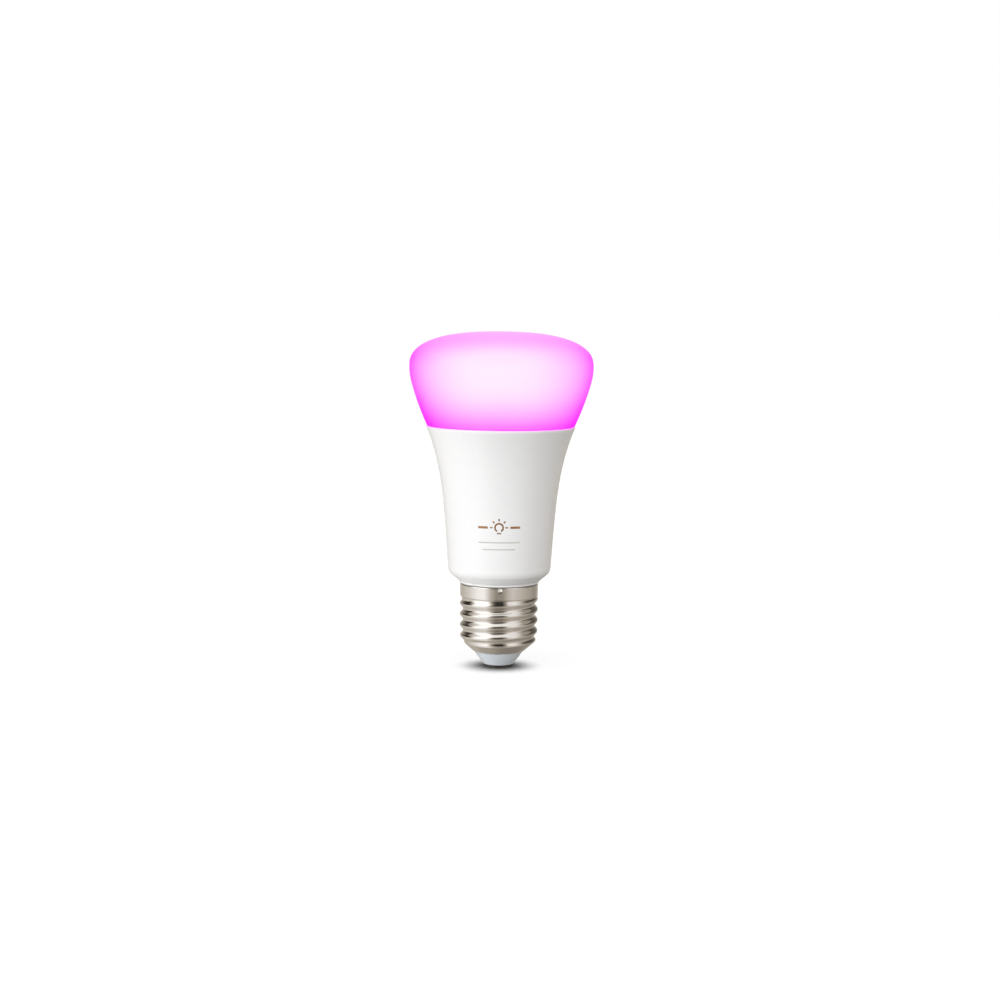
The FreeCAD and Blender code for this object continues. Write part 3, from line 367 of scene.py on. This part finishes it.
def finish(name, colour, roughness=0.5, metallic=0.0, scale=900.0, tone=0.08, grain=0.2, streaks=(1, 1, 1)):
    """A moulded, drawn, plated or printed surface: its tone, gloss and relief all vary a little."""
    material, tree, shader, where = new_material(name)
    along = tree.stretched(where, *streaks)
    fine = tree.noise(along, scale)
    broad = tree.noise(where, scale * 0.12, 2.0)
    dark = tuple(c * (1 - tone) for c in colour) + (1.0,)
    light = tuple(min(1.0, c * (1 + tone * 0.6)) for c in colour) + (1.0,)
    mottle = tree.math("MULTIPLY_ADD", fine, 0.5, tree.math("MULTIPLY", broad, 0.5))
    tree.link(tree.mix(mottle, dark, light), shader.inputs["Base Color"])
    rough = tree.remap(fine, 0.25, 0.75, roughness * 0.8, roughness * 1.2, "LINEAR")
    tree.link(rough, shader.inputs["Roughness"])
    shader.inputs["Metallic"].default_value = metallic
    bump(tree, shader, fine, grain, 0.00002)
    return material


# Materials of what shows

DOME_STRENGTH = 2.1
DOME_GLOW = (
    (0.0, 0.10, 0.72), (0.014, 0.12, 0.78), (0.03, 0.15, 1.0), (0.10, 0.345, 1.0), (0.165, 0.51, 1.0),
    (0.23, 0.66, 1.0), (0.326, 0.82, 1.0), (0.45, 0.91, 1.0), (0.58, 0.88, 1.0), (0.70, 0.85, 1.0),
    (0.80, 0.92, 1.0), (0.88, 0.99, 1.0), (1.0, 0.97, 1.0),
)  # share of the dome's height, green in its light, red and blue in its light
DOME_DEPTH = (
    (0.0, 0.97), (0.12, 0.97), (0.25, 0.965), (0.4, 0.95),
    (0.74, 0.95), (0.86, 0.89), (0.94, 0.845), (1.0, 0.8),
)  # share of the dome's height, weight of the tinted coat


def dome_material():
    """Frosted plastic lit from inside: near white where the light is strong, magenta towards the seam.
    A thin tinted coat deepens the colour where the wall is seen edge-on."""
    material, tree, shader, where = new_material("frosted_dome_lit")
    height = tree.node("ShaderNodeSeparateXYZ", {"Vector": where}).outputs["Z"]
    cloudy = tree.noise(where, 60.0, 2.0)
    level = tree.math("MULTIPLY_ADD", tree.math("SUBTRACT", cloudy, 0.5), 0.0006, height)
    share = tree.remap(level, SEAM_Z * MM, BULB_HEIGHT * MM, kind="LINEAR")
    glow = tree.ramp(share, [(place, (pink, green, pink, 1.0)) for place, green, pink in DOME_GLOW])
    depth = tree.ramp(share, [(place, grey(weight)) for place, weight in DOME_DEPTH])
    tree.link(glow, shader.inputs["Emission Color"])
    tree.link(depth, shader.inputs["Coat Weight"])
    frost = tree.noise(where, 2600.0, 2.0)
    tree.link(tree.mix(frost, (0.50, 0.30, 0.48, 1), (0.56, 0.36, 0.54, 1)), shader.inputs["Base Color"])
    tree.link(tree.remap(frost, 0.3, 0.7, 0.05, 0.08, "LINEAR"), shader.inputs["Roughness"])
    bump(tree, shader, frost, 0.03, 0.00001)
    shader.inputs["Emission Strength"].default_value = DOME_STRENGTH
    shader.inputs["IOR"].default_value = 1.8
    shader.inputs["Coat Tint"].default_value = (1.0, 0.36, 1.0, 1.0)
    shader.inputs["Coat IOR"].default_value = 1.01
    shader.inputs["Coat Roughness"].default_value = 0.1
    return material


def housing_material():
    """Satin-gloss white plastic with the faint orange peel of moulding."""
    material, tree, shader, where = new_material("white_housing_plastic")
    peel = tree.noise(where, 420.0, 2.0)
    speck = tree.noise(where, 2400.0, 3.0)
    tree.link(tree.mix(peel, (0.835, 0.84, 0.845, 1), (0.87, 0.875, 0.88, 1)), shader.inputs["Base Color"])
    tree.link(tree.remap(speck, 0.3, 0.7, 0.16, 0.22, "LINEAR"), shader.inputs["Roughness"])
    bump(tree, shader, peel, 0.06, 0.00003)
    return material


def nickel_material():
    """Bright nickel plate, with fine marks round the cap from rolling and faint stains."""
    material, tree, shader, where = new_material("nickel_plate_rolled")
    rolled = tree.noise(tree.stretched(where, 60, 60, 2600), 1.0, 4.0)
    stains = tree.noise(where, 160.0, 3.0)
    base = tree.mix(stains, (0.71, 0.68, 0.65, 1), (0.75, 0.72, 0.695, 1))
    marked = tree.mix(tree.math("MULTIPLY", rolled, 0.3), base, (0.63, 0.60, 0.57, 1))
    tree.link(marked, shader.inputs["Base Color"])
    tree.link(tree.remap(rolled, 0.3, 0.7, 0.06, 0.12, "LINEAR"), shader.inputs["Roughness"])
    shader.inputs["Metallic"].default_value = 1.0
    bump(tree, shader, rolled, 0.04, 0.00002)
    return material


# Pieces that show


def diffuser_dome():
    """Dome with a rounded edge, and the skirt inside the housing."""
    outer, inner = dome_face(0), dome_face(DOME_WALL)
    edge_r = outer[-1][0]
    round_middle = (edge_r - 0.18, SEAM_Z + 0.13)
    spigot_inner = SPIGOT_OUTER - SPIGOT_WALL
    outline = outer + arc_through(outer[-1], round_middle, (edge_r - DOME_EDGE_ROUND, SEAM_Z), 5)[1:]
    outline += [
        (SPIGOT_OUTER, SEAM_Z),
        (SPIGOT_OUTER, SPIGOT_BOTTOM_Z + SPIGOT_LEAD_IN),
        (SPIGOT_OUTER - SPIGOT_LEAD_IN, SPIGOT_BOTTOM_Z),
        (spigot_inner, SPIGOT_BOTTOM_Z),
        (spigot_inner, inner[-1][1]),
    ]
    outline += inner[::-1]
    return turned("diffuser_dome_lit", outline, dome_material())


def housing_shell():
    """Housing with a softened rim, shoulder and lip."""
    wall_steps, inner_steps = 60, 20
    wall_top = SEAM_Z - RIM_ROUND
    heights = [WAIST_Z + (wall_top - WAIST_Z) * i / wall_steps for i in range(wall_steps + 1)]
    wall = [(housing_radius(z), z) for z in heights]
    inner_foot = CUP_BOTTOM_Z - 0.4
    heights = [LEDGE_Z + (inner_foot - LEDGE_Z) * i / inner_steps for i in range(inner_steps + 1)]
    inner = [(housing_radius(z) - HOUSING_WALL, z) for z in heights]
    neck_z = CAP_TOP_Z - CURL_ROUND - 0.05
    land_top = HOUSING_LIP_Z + LIP_HEIGHT
    lip = rounded(
        [
            (COLLAR_NECK_RADIUS, HOUSING_LIP_Z),
            (LIP_RADIUS, HOUSING_LIP_Z),
            (LIP_RADIUS, land_top),
            (LIP_RADIUS + 0.25, land_top + 0.05),
            CONE_TOP,
        ],
        [0, 0.12, 0.1, 0.12, 0],
    )
    shoulder_middle = (CONE_TOP[0] + SHOULDER_BULGE[0], CONE_TOP[1] + SHOULDER_BULGE[1])
    rim_r = wall[-1][0]
    rim_middle = (rim_r - RIM_ROUND * ARC_MIDDLE, SEAM_Z - RIM_ROUND * ARC_MIDDLE)
    outline = [
        (COLLAR_BORE, COLLAR_BOTTOM_Z),
        (COLLAR_RADIUS, COLLAR_BOTTOM_Z),
        (COLLAR_RADIUS, COLLAR_STEP_Z),
        (COLLAR_TOP_RADIUS, COLLAR_STEP_Z),
        (COLLAR_TOP_RADIUS, neck_z),
        (COLLAR_NECK_RADIUS, neck_z),
    ]
    outline += lip
    outline += arc_through(CONE_TOP, shoulder_middle, wall[0], 14)[1:]
    outline += wall[1:]
    outline += arc_through(wall[-1], rim_middle, (rim_r - RIM_ROUND, SEAM_Z), 7)[1:]
    outline += [(RIM_INNER, SEAM_Z), (RIM_INNER, LEDGE_Z)]
    outline += inner
    outline += [(inner[-1][0] - 0.35, inner[-1][1] - 1.7), (COLLAR_BORE, COLLAR_BORE_TOP_Z)]
    return turned("housing_shell_white", outline, housing_material())


def dent_depth(turn, z):
    """How far the cap's face is pushed in at an angle and a height, by the staking dents."""
    off = ((turn - DENT_TURN) / TURN * DENT_COUNT + 0.5) % 1 - 0.5
    away = math.hypot(off * TURN / DENT_COUNT * SKIRT_RADIUS, (z - DENT_Z) / DENT_STRETCH)
    burr = smooth(0.62, 0.8, away) * (1 - smooth(0.8, 1.1, away))
    return DENT_DEPTH * (1 - smooth(DENT_FLOOR, DENT_MOUTH, away)) - DENT_BURR * burr


def cap_shell():
    """Cap of thin sheet: its thread is rolled right through the wall, its top edge curls in, and it has
    staking dents."""
    around, steps, inner_step, curl_steps = 256, 280, 4, 7
    low_round, low_tuck = 0.25, 0.14
    curl_z = CAP_TOP_Z - CURL_ROUND
    curl_r = SKIRT_RADIUS - CURL_ROUND
    vertices = []

    def ring(radius_at, z):
        for i in range(around):
            turn = TURN * i / around
            r = radius_at(turn) - dent_depth(turn, z)
            vertices.append((r * math.cos(turn), r * math.sin(turn), z))

    def curl(radius, order):
        for step in order:
            lift = math.pi / 2 * step / curl_steps
            ring(lambda turn: curl_r + radius * math.cos(lift), curl_z + radius * math.sin(lift))

    heights = [RIM_Z + (curl_z - RIM_Z) * i / steps for i in range(steps + 1)]
    for z in heights:
        low_edge = max(0.0, 1 - (z - RIM_Z) / low_round)
        tuck = low_tuck * (1 - math.sqrt(1 - low_edge * low_edge))
        ring(lambda turn: cap_radius(turn, z) - tuck, z)
    curl(CURL_ROUND, range(1, curl_steps + 1))
    curl(CURL_ROUND - CAP_WALL, range(curl_steps, 0, -1))
    for z in heights[::-inner_step]:
        wall = THREAD_WALL + (CAP_WALL - THREAD_WALL) * smooth(THREAD_STEP[0], SKIRT_EDGE[1], z)
        ring(lambda turn: cap_radius(turn, z) - wall, z)
    count = len(vertices) // around
    faces = []
    for row in range(count):
        a, b = row * around, (row + 1) % count * around
        for i in range(around):
            j = (i + 1) % around
            faces.append((a + i, b + i, b + j, a + j))
    return piece("cap_shell_nickel", vertices, faces, nickel_material(), 50)


def cap_insulator():
    """Pale insulator, slightly bellied, with a soft lower edge."""
    top_z = RIM_Z - 0.05
    low, high = (INSULATOR_BOTTOM_RADIUS, INSULATOR_BOTTOM_Z), (INSULATOR_TOP_RADIUS, top_z)
    belly = ((low[0] + high[0]) / 2 + 0.12, (low[1] + high[1]) / 2 - 0.1)
    neck = CONE_RADIUS - THREAD_WALL - 0.35
    head = neck + CONE_RISE * (INSULATOR_TOP_Z - RIM_Z)
    upper_middle = ((belly[0] + high[0]) / 2 + 0.04, (belly[1] + high[1]) / 2)
    outline = rounded([(CONTACT_PIN_RADIUS, INSULATOR_BOTTOM_Z), low, belly], [0, 0.35, 0], 6)
    outline += arc_through(outline[-1], upper_middle, high, 6)[1:]
    outline += [(neck, top_z), (head, INSULATOR_TOP_Z), (CONTACT_PIN_RADIUS, INSULATOR_TOP_Z)]
    material = finish("insulator_pale", (0.60, 0.65, 0.70), 0.32, scale=700.0, tone=0.03, grain=0.05)
    return turned("cap_insulator_pale", outline, material, 192)


def centre_contact():
    """Contact button with a softened rim and a slightly dished face, and its pin."""
    outline = rounded(
        [
            (0, 0.12),
            (2.6, 0.1),
            (3.2, 0),
            (CONTACT_RADIUS, 0),
            (CONTACT_RADIUS, INSULATOR_BOTTOM_Z),
            (CONTACT_PIN_RADIUS, INSULATOR_BOTTOM_Z),
            (CONTACT_PIN_RADIUS, CONTACT_PIN_TOP_Z),
            (0, CONTACT_PIN_TOP_Z),
        ],
        [0, 0.6, 0.4, 0.35, 0.1, 0, 0.15, 0],
        5,
    )
    # Near-black colour is painted shade: it stands in for the deep contact shadow under the cap where the
    # contact meets the floor, not the metal's own colour.
    material = finish("contact_painted_shade_dark", (0.08, 0.077, 0.073), 0.5, 1.0, scale=500.0, tone=0.15, grain=0.15)
    return turned("centre_contact_button", outline, material, 160)


# Printed mark: a generic bulb-and-rays sign over two short rules

MARK = (-0.2, 48.9)  # the sign's middle: distance along the print, height
RULES = ((43.9, 13.8), (41.6, 10.8))  # height and length of each rule
INK_LIFT = 0.012  # height of the ink's face above the housing
INK_BACK = 0.001


def on_housing(x, z, lift):
    """The point of the housing's front face at that distance along the print and that height."""
    radius = housing_radius(z) + lift
    turn = x / radius
    return (radius * math.sin(turn), -radius * math.cos(turn), z)


def ink(name, outlines, material):
    """Thin raised print on the housing's front, from flat outlines given as rows of (x, z) pairs."""
    vertices, faces = [], []
    for rows in outlines:
        start = len(vertices)
        width = len(rows[0])
        for level in (INK_LIFT, INK_BACK):
            for row in rows:
                vertices += [on_housing(x, z, level) for x, z in row]
        back = start + width * len(rows)
        for j in range(len(rows) - 1):
            for i in range(width - 1):
                a = start + j * width + i
                faces.append((a, a + 1, a + width + 1, a + width))
                b = back + j * width + i
                faces.append((b, b + width, b + width + 1, b + 1))
        border = list(range(width)) + [j * width + width - 1 for j in range(1, len(rows))]
        border += [(len(rows) - 1) * width + i for i in range(width - 2, -1, -1)]
        border += [j * width for j in range(len(rows) - 2, 0, -1)]
        for a, b in zip(border, border[1:] + border[:1]):
            faces.append((start + a, back + a, back + b, start + b))
    return piece(name, vertices, faces, material)


def bar(x0, z0, x1, z1, width, cuts=10):
    """Rows for a straight stroke."""
    along = Vector((x1 - x0, z1 - z0)).normalized()
    side = Vector((-along.y, along.x)) * width / 2
    rows = []
    for sign in (-1, 0, 1):
        rows.append([
            (x0 + (x1 - x0) * i / cuts + side.x * sign, z0 + (z1 - z0) * i / cuts + side.y * sign)
            for i in range(cuts + 1)
        ])
    return rows


def ring_band(x, z, inner, outer, start, end, cuts=40):
    """Rows for part of a ring."""
    angles = [math.radians(start + (end - start) * i / cuts) for i in range(cuts + 1)]
    radii = (inner, (inner + outer) / 2, outer)
    return [[(x + r * math.cos(a), z + r * math.sin(a)) for a in angles] for r in radii]


def printed_mark():
    """Bronze sign and grey rules."""
    bronze = finish("print_bronze", (0.42, 0.22, 0.11), 0.35, 0.6, scale=3000.0, tone=0.12, grain=0.05)
    pale = finish("print_grey", (0.52, 0.50, 0.45), 0.45, scale=3000.0, tone=0.08, grain=0.05)
    x, z = MARK
    strokes = [ring_band(x, z, 1.05, 1.6, -62, 242)]
    strokes.append(bar(x - 0.7, z - 1.95, x + 0.7, z - 1.95, 0.42))
    for angle in (0, 45, 90, 135, 180):
        across, up = math.cos(math.radians(angle)), math.sin(math.radians(angle))
        strokes.append(bar(x + across * 2.1, z + up * 2.1, x + across * 2.95, z + up * 2.95, 0.46, 6))
    for side in (-1, 1):
        strokes.append(bar(x + side * 3.7, z, x + side * 7.0, z, 0.75, 16))
    sign = ink("printed_sign_bronze", strokes, bronze)
    rules = [bar(x - length / 2, level, x + length / 2, level, 0.32, 48) for level, length in RULES]
    return [sign, ink("printed_rules_grey", rules, pale)]


# Studio


# Level of the surroundings that gloss shows: two wide soft boxes, a dark gap between them, dark corners
# behind and a pale floor. Each belt has the heights in degrees where it starts and ends, then levels by
# bearing from the front. Between two belts the level changes smoothly.
BELTS = (
    (-91, -80, (
        (-180, 0.38), (-65, 0.5), (0, 0.38), (90, 0.32), (180, 0.38),
    )),
    (-72, -54, (
        (-180, 0.3), (-135, 0.5), (-108, 0.92), (-60, 0.98), (-38, 0.72), (-14, 0.5),
        (25, 0.46), (60, 0.55), (92, 0.48), (135, 0.25), (180, 0.3),
    )),
    (-42, -22, (
        (-180, 0.48), (-135, 0.58), (-100, 0.8), (-76, 1.05), (-42, 1.1), (-27, 0.6), (-12, 0.14),
        (8, 0.12), (28, 0.48), (48, 0.78), (77, 0.56), (110, 0.42), (150, 0.25), (180, 0.48),
    )),
    (-14, -4, (
        (-180, 0.55), (-137, 0.6), (-97, 0.85), (-66, 1.2), (-45, 1.25), (-24, 0.6), (-8, 0.34),
        (12, 0.36), (26, 0.6), (40, 0.76), (84, 0.54), (129, 0.36), (180, 0.55),
    )),
    (9, 27, (
        (-180, 0.55), (-155, 0.35), (-132, 0.04), (-105, 0.02), (-95, 0.35), (-87, 1.0), (-79, 1.55),
        (-42, 1.6), (-34, 1.1), (-25, 0.25), (-14, 0.03), (10, 0.02), (20, 0.3), (30, 1.0), (50, 1.1),
        (66, 0.75), (78, 0.4), (92, 0.12), (125, 0.08), (150, 0.15), (180, 0.55),
    )),
    (35, 46, (
        (-180, 0.55), (-155, 0.4), (-135, 0.3), (-120, 0.45), (-107, 0.8), (-90, 1.2), (-80, 1.55),
        (-42, 1.6), (-34, 1.1), (-25, 0.3), (-14, 0.05), (10, 0.03), (20, 0.35), (30, 1.0), (50, 1.1),
        (66, 0.85), (78, 0.6), (92, 0.42), (125, 0.36), (150, 0.35), (180, 0.55),
    )),
    (56, 63, (
        (-180, 0.5), (-110, 1.0), (-88, 1.4), (-46, 1.45), (-30, 0.9), (-8, 0.7), (10, 0.7), (30, 1.05),
        (75, 1.05), (105, 0.7), (180, 0.5),
    )),
    (72, 91, (
        (-180, 1.0), (-60, 1.3), (0, 1.12), (60, 1.15), (180, 1.0),
    )),
)
# Soft light that matt faces receive: bearing, height, spread power, colour
MATT_LIGHTS = (
    (-20, 13, 2, (2.33, 2.31, 2.29)),
    (-122, -30, 16, (5.4, 5.4, 5.4)),
    (120, 5, 16, (5.2, 4.9, 4.5)),
)


def studio_world():
    """Studio surroundings: plain white behind, and one set of lights for gloss and one for matt faces."""
    world = bpy.data.worlds.new("studio")
    bpy.context.scene.world = world
    world.use_nodes = True
    world.cycles.sampling_method = "NONE"
    tree = Tree(world.node_tree)
    world.node_tree.nodes.clear()
    way = tree.node("ShaderNodeTexCoord").outputs["Generated"]
    kind = tree.node("ShaderNodeLightPath").outputs
    gloss = tree.node("ShaderNodeBackground", {"Color": reflected(tree, way)})
    matt = tree.node("ShaderNodeBackground", {"Color": soft_light(tree, way)})
    white = tree.node("ShaderNodeBackground", {"Color": grey(1.0)})
    lit = tree.choose(kind["Is Diffuse Ray"], gloss.outputs[0], matt.outputs[0])
    seen = tree.choose(kind["Is Camera Ray"], lit, white.outputs[0])
    tree.node("ShaderNodeOutputWorld", {"Surface": seen})


def reflected(tree, way):
    """Colour of the surroundings that gloss shows in a direction."""
    axes = tree.node("ShaderNodeSeparateXYZ", {"Vector": way}).outputs
    front = tree.math("MULTIPLY", axes["Y"], -1.0)
    bearing = tree.math("DEGREES", tree.math("ARCTAN2", axes["X"], front))
    height = tree.math("DEGREES", tree.math("ARCSINE", axes["Z"]))
    round_share = tree.remap(bearing, -180, 180, kind="LINEAR")
    level, top_of_last = None, None
    for start, end, levels in BELTS:
        colour = tree.ramp(round_share, [((place + 180) / 360, grey(value / 2)) for place, value in levels])
        red = tree.node("ShaderNodeSeparateColor", {"Color": colour}).outputs["Red"]
        belt = tree.math("MULTIPLY", red, 2.0)
        if level is None:
            level = belt
        else:
            rise = tree.remap(height, top_of_last, start)
            level = tree.math("MULTIPLY_ADD", rise, tree.math("SUBTRACT", belt, level), level)
        top_of_last = end
    tint = tree.mix(tree.remap(level, 0.3, 1.15), (1.08, 0.98, 0.84, 1), (1.0, 1.0, 0.985, 1))
    return tree.vector("SCALE", tint, level)


def soft_light(tree, way):
    """Colour of the light that matt faces receive from a direction."""
    total = None
    for bearing, height, power, colour in MATT_LIGHTS:
        a, e = math.radians(bearing), math.radians(height)
        axis = (math.sin(a) * math.cos(e), -math.cos(a) * math.cos(e), math.sin(e))
        facing = tree.vector("DOT_PRODUCT", way, axis, "Value")
        lobe = tree.math("POWER", tree.math("MAXIMUM", facing, 0.0), power)
        part = tree.vector("SCALE", colour, lobe)
        total = part if total is None else tree.vector("ADD", total, part)
    return total


def studio_floor(grounded):
    """Plain pale sweep of paper, with a broad overhead light of its own. Only the grounded pieces hold that
    light back, so the bulb leaves a small soft shadow round its foot."""
    half = 6000
    vertices = [(-half, -half, 0), (half, -half, 0), (half, half, 0), (-half, half, 0)]
    material, tree, shader, where = new_material("floor_paper")
    fibre = tree.noise(where, 800.0, 4.0)
    tree.link(tree.mix(fibre, grey(0.145), grey(0.155)), shader.inputs["Base Color"])
    shader.inputs["Roughness"].default_value = 0.9
    shader.inputs["Specular IOR Level"].default_value = 0.0
    made = piece("studio_floor", vertices, [(0, 1, 2, 3)], material)
    made.visible_glossy = False
    made.visible_diffuse = False
    data = bpy.data.lights.new("paper_light", "SUN")
    data.energy = 20.4
    data.angle = math.radians(78)
    lamp = bpy.data.objects.new("paper_light", data)
    bpy.context.scene.collection.objects.link(lamp)
    lit = bpy.data.collections.new("lit_by_paper_light")
    lit.objects.link(made)
    lamp.light_linking.receiver_collection = lit
    shading = bpy.data.collections.new("shades_the_paper")
    for thing in grounded:
        shading.objects.link(thing)
    lamp.light_linking.blocker_collection = shading


def photo_camera():
    """Camera at a product photographer's distance, a little above the bulb and slightly rolled."""
    data = bpy.data.cameras.new("photo_camera")
    data.lens, data.sensor_width = 71.08, 36.0
    data.clip_start, data.clip_end = 0.01, 50.0
    camera = bpy.data.objects.new("photo_camera", data)
    bpy.context.scene.collection.objects.link(camera)
    place, target = Vector((0, -654.2, 126.8)), Vector((0, 0, 56.0))
    facing = (target - place).to_track_quat("-Z", "Y").to_matrix().to_4x4()
    roll = Matrix.Rotation(math.radians(0.63), 4, "Z")
    camera.matrix_world = Matrix.Translation(place * MM) @ facing @ roll
    bpy.context.scene.camera = camera


# Finishes of the CAD pieces that keep their own shape


INSIDE = {
    "silicone_white": ((0.85, 0.85, 0.84), 0.5, 0.0),
    "aluminium": ((0.74, 0.75, 0.76), 0.38, 1.0),
    "thermal_pad_grey": ((0.45, 0.5, 0.56), 0.8, 0.0),
    "white_solder_mask": ((0.88, 0.89, 0.87), 0.35, 0.0),
    "white_film": ((0.92, 0.92, 0.92), 0.6, 0.0),
    "led_frame": ((0.88, 0.87, 0.82), 0.45, 0.0),
    "phosphor_yellow": ((0.9, 0.72, 0.12), 0.55, 0.0),
    "led_lens_clear": ((0.85, 0.8, 0.86), 0.12, 0.0),
    "plated_steel": ((0.62, 0.62, 0.61), 0.3, 1.0),
    "tinned_lead": ((0.72, 0.72, 0.7), 0.32, 1.0),
    "connector_black": ((0.02, 0.02, 0.02), 0.45, 0.0),
    "connector_cream": ((0.82, 0.77, 0.62), 0.45, 0.0),
    "board_green": ((0.015, 0.09, 0.03), 0.35, 0.0),
    "copper": ((0.72, 0.33, 0.16), 0.3, 1.0),
    "liner_white": ((0.74, 0.74, 0.71), 0.5, 0.0),
    "capacitor_sleeve": ((0.015, 0.02, 0.05), 0.25, 0.0),
    "bung_rubber": ((0.02, 0.02, 0.02), 0.7, 0.0),
    "ferrite": ((0.035, 0.035, 0.04), 0.55, 0.0),
    "bobbin_black": ((0.02, 0.02, 0.022), 0.45, 0.0),
    "tape_yellow": ((0.8, 0.55, 0.05), 0.22, 0.0),
    "film_cap_yellow": ((0.74, 0.46, 0.06), 0.35, 0.0),
    "resistor_green": ((0.13, 0.27, 0.16), 0.4, 0.0),
    "varistor_blue": ((0.02, 0.08, 0.32), 0.35, 0.0),
    "chip_black": ((0.018, 0.018, 0.018), 0.5, 0.0),
    "chip_ceramic": ((0.46, 0.34, 0.2), 0.5, 0.0),
    "wire_red": ((0.38, 0.015, 0.012), 0.35, 0.0),
}  # slot: colour, roughness, metallic


def finish_inside():
    """Gives every CAD piece that still shows its own procedural finish."""
    made = {}
    for part in frame["record"]["subparts"]:
        slot = part["material_slot"]
        if slot not in INSIDE:
            continue
        if slot not in made:
            colour, roughness, metallic = INSIDE[slot]
            streaks = (1, 1, 12) if metallic else (1, 1, 1)
            made[slot] = finish("inside_" + slot, colour, roughness, metallic, streaks=streaks)
        node = frame["nodes"][part["node"]]
        for place in node.material_slots:
            place.material = made[slot]


def main():
    """Builds the pieces and the studio."""
    insulator, contact = cap_insulator(), centre_contact()
    for shown, node, slot in (
        (diffuser_dome(), "diffuser_dome", "frosted_dome"),
        (housing_shell(), "housing_shell", "white_housing"),
        (cap_shell(), "cap_shell", "nickel_plate"),
        (insulator, "cap_insulator", "insulator_grey"),
        (contact, "centre_contact_pin", "contact_metal"),
    ):
        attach(shown, "root")
        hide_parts(node)
    for mark, slot in zip(printed_mark(), ("copper", "insulator_grey")):
        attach(mark, "root")
    finish_inside()
    studio_world()
    studio_floor((insulator, contact))
    photo_camera()
    bpy.context.scene.view_settings.view_transform = "Standard"
    bpy.context.scene.view_settings.look = "None"


main()
bpy.context.view_layer.update()
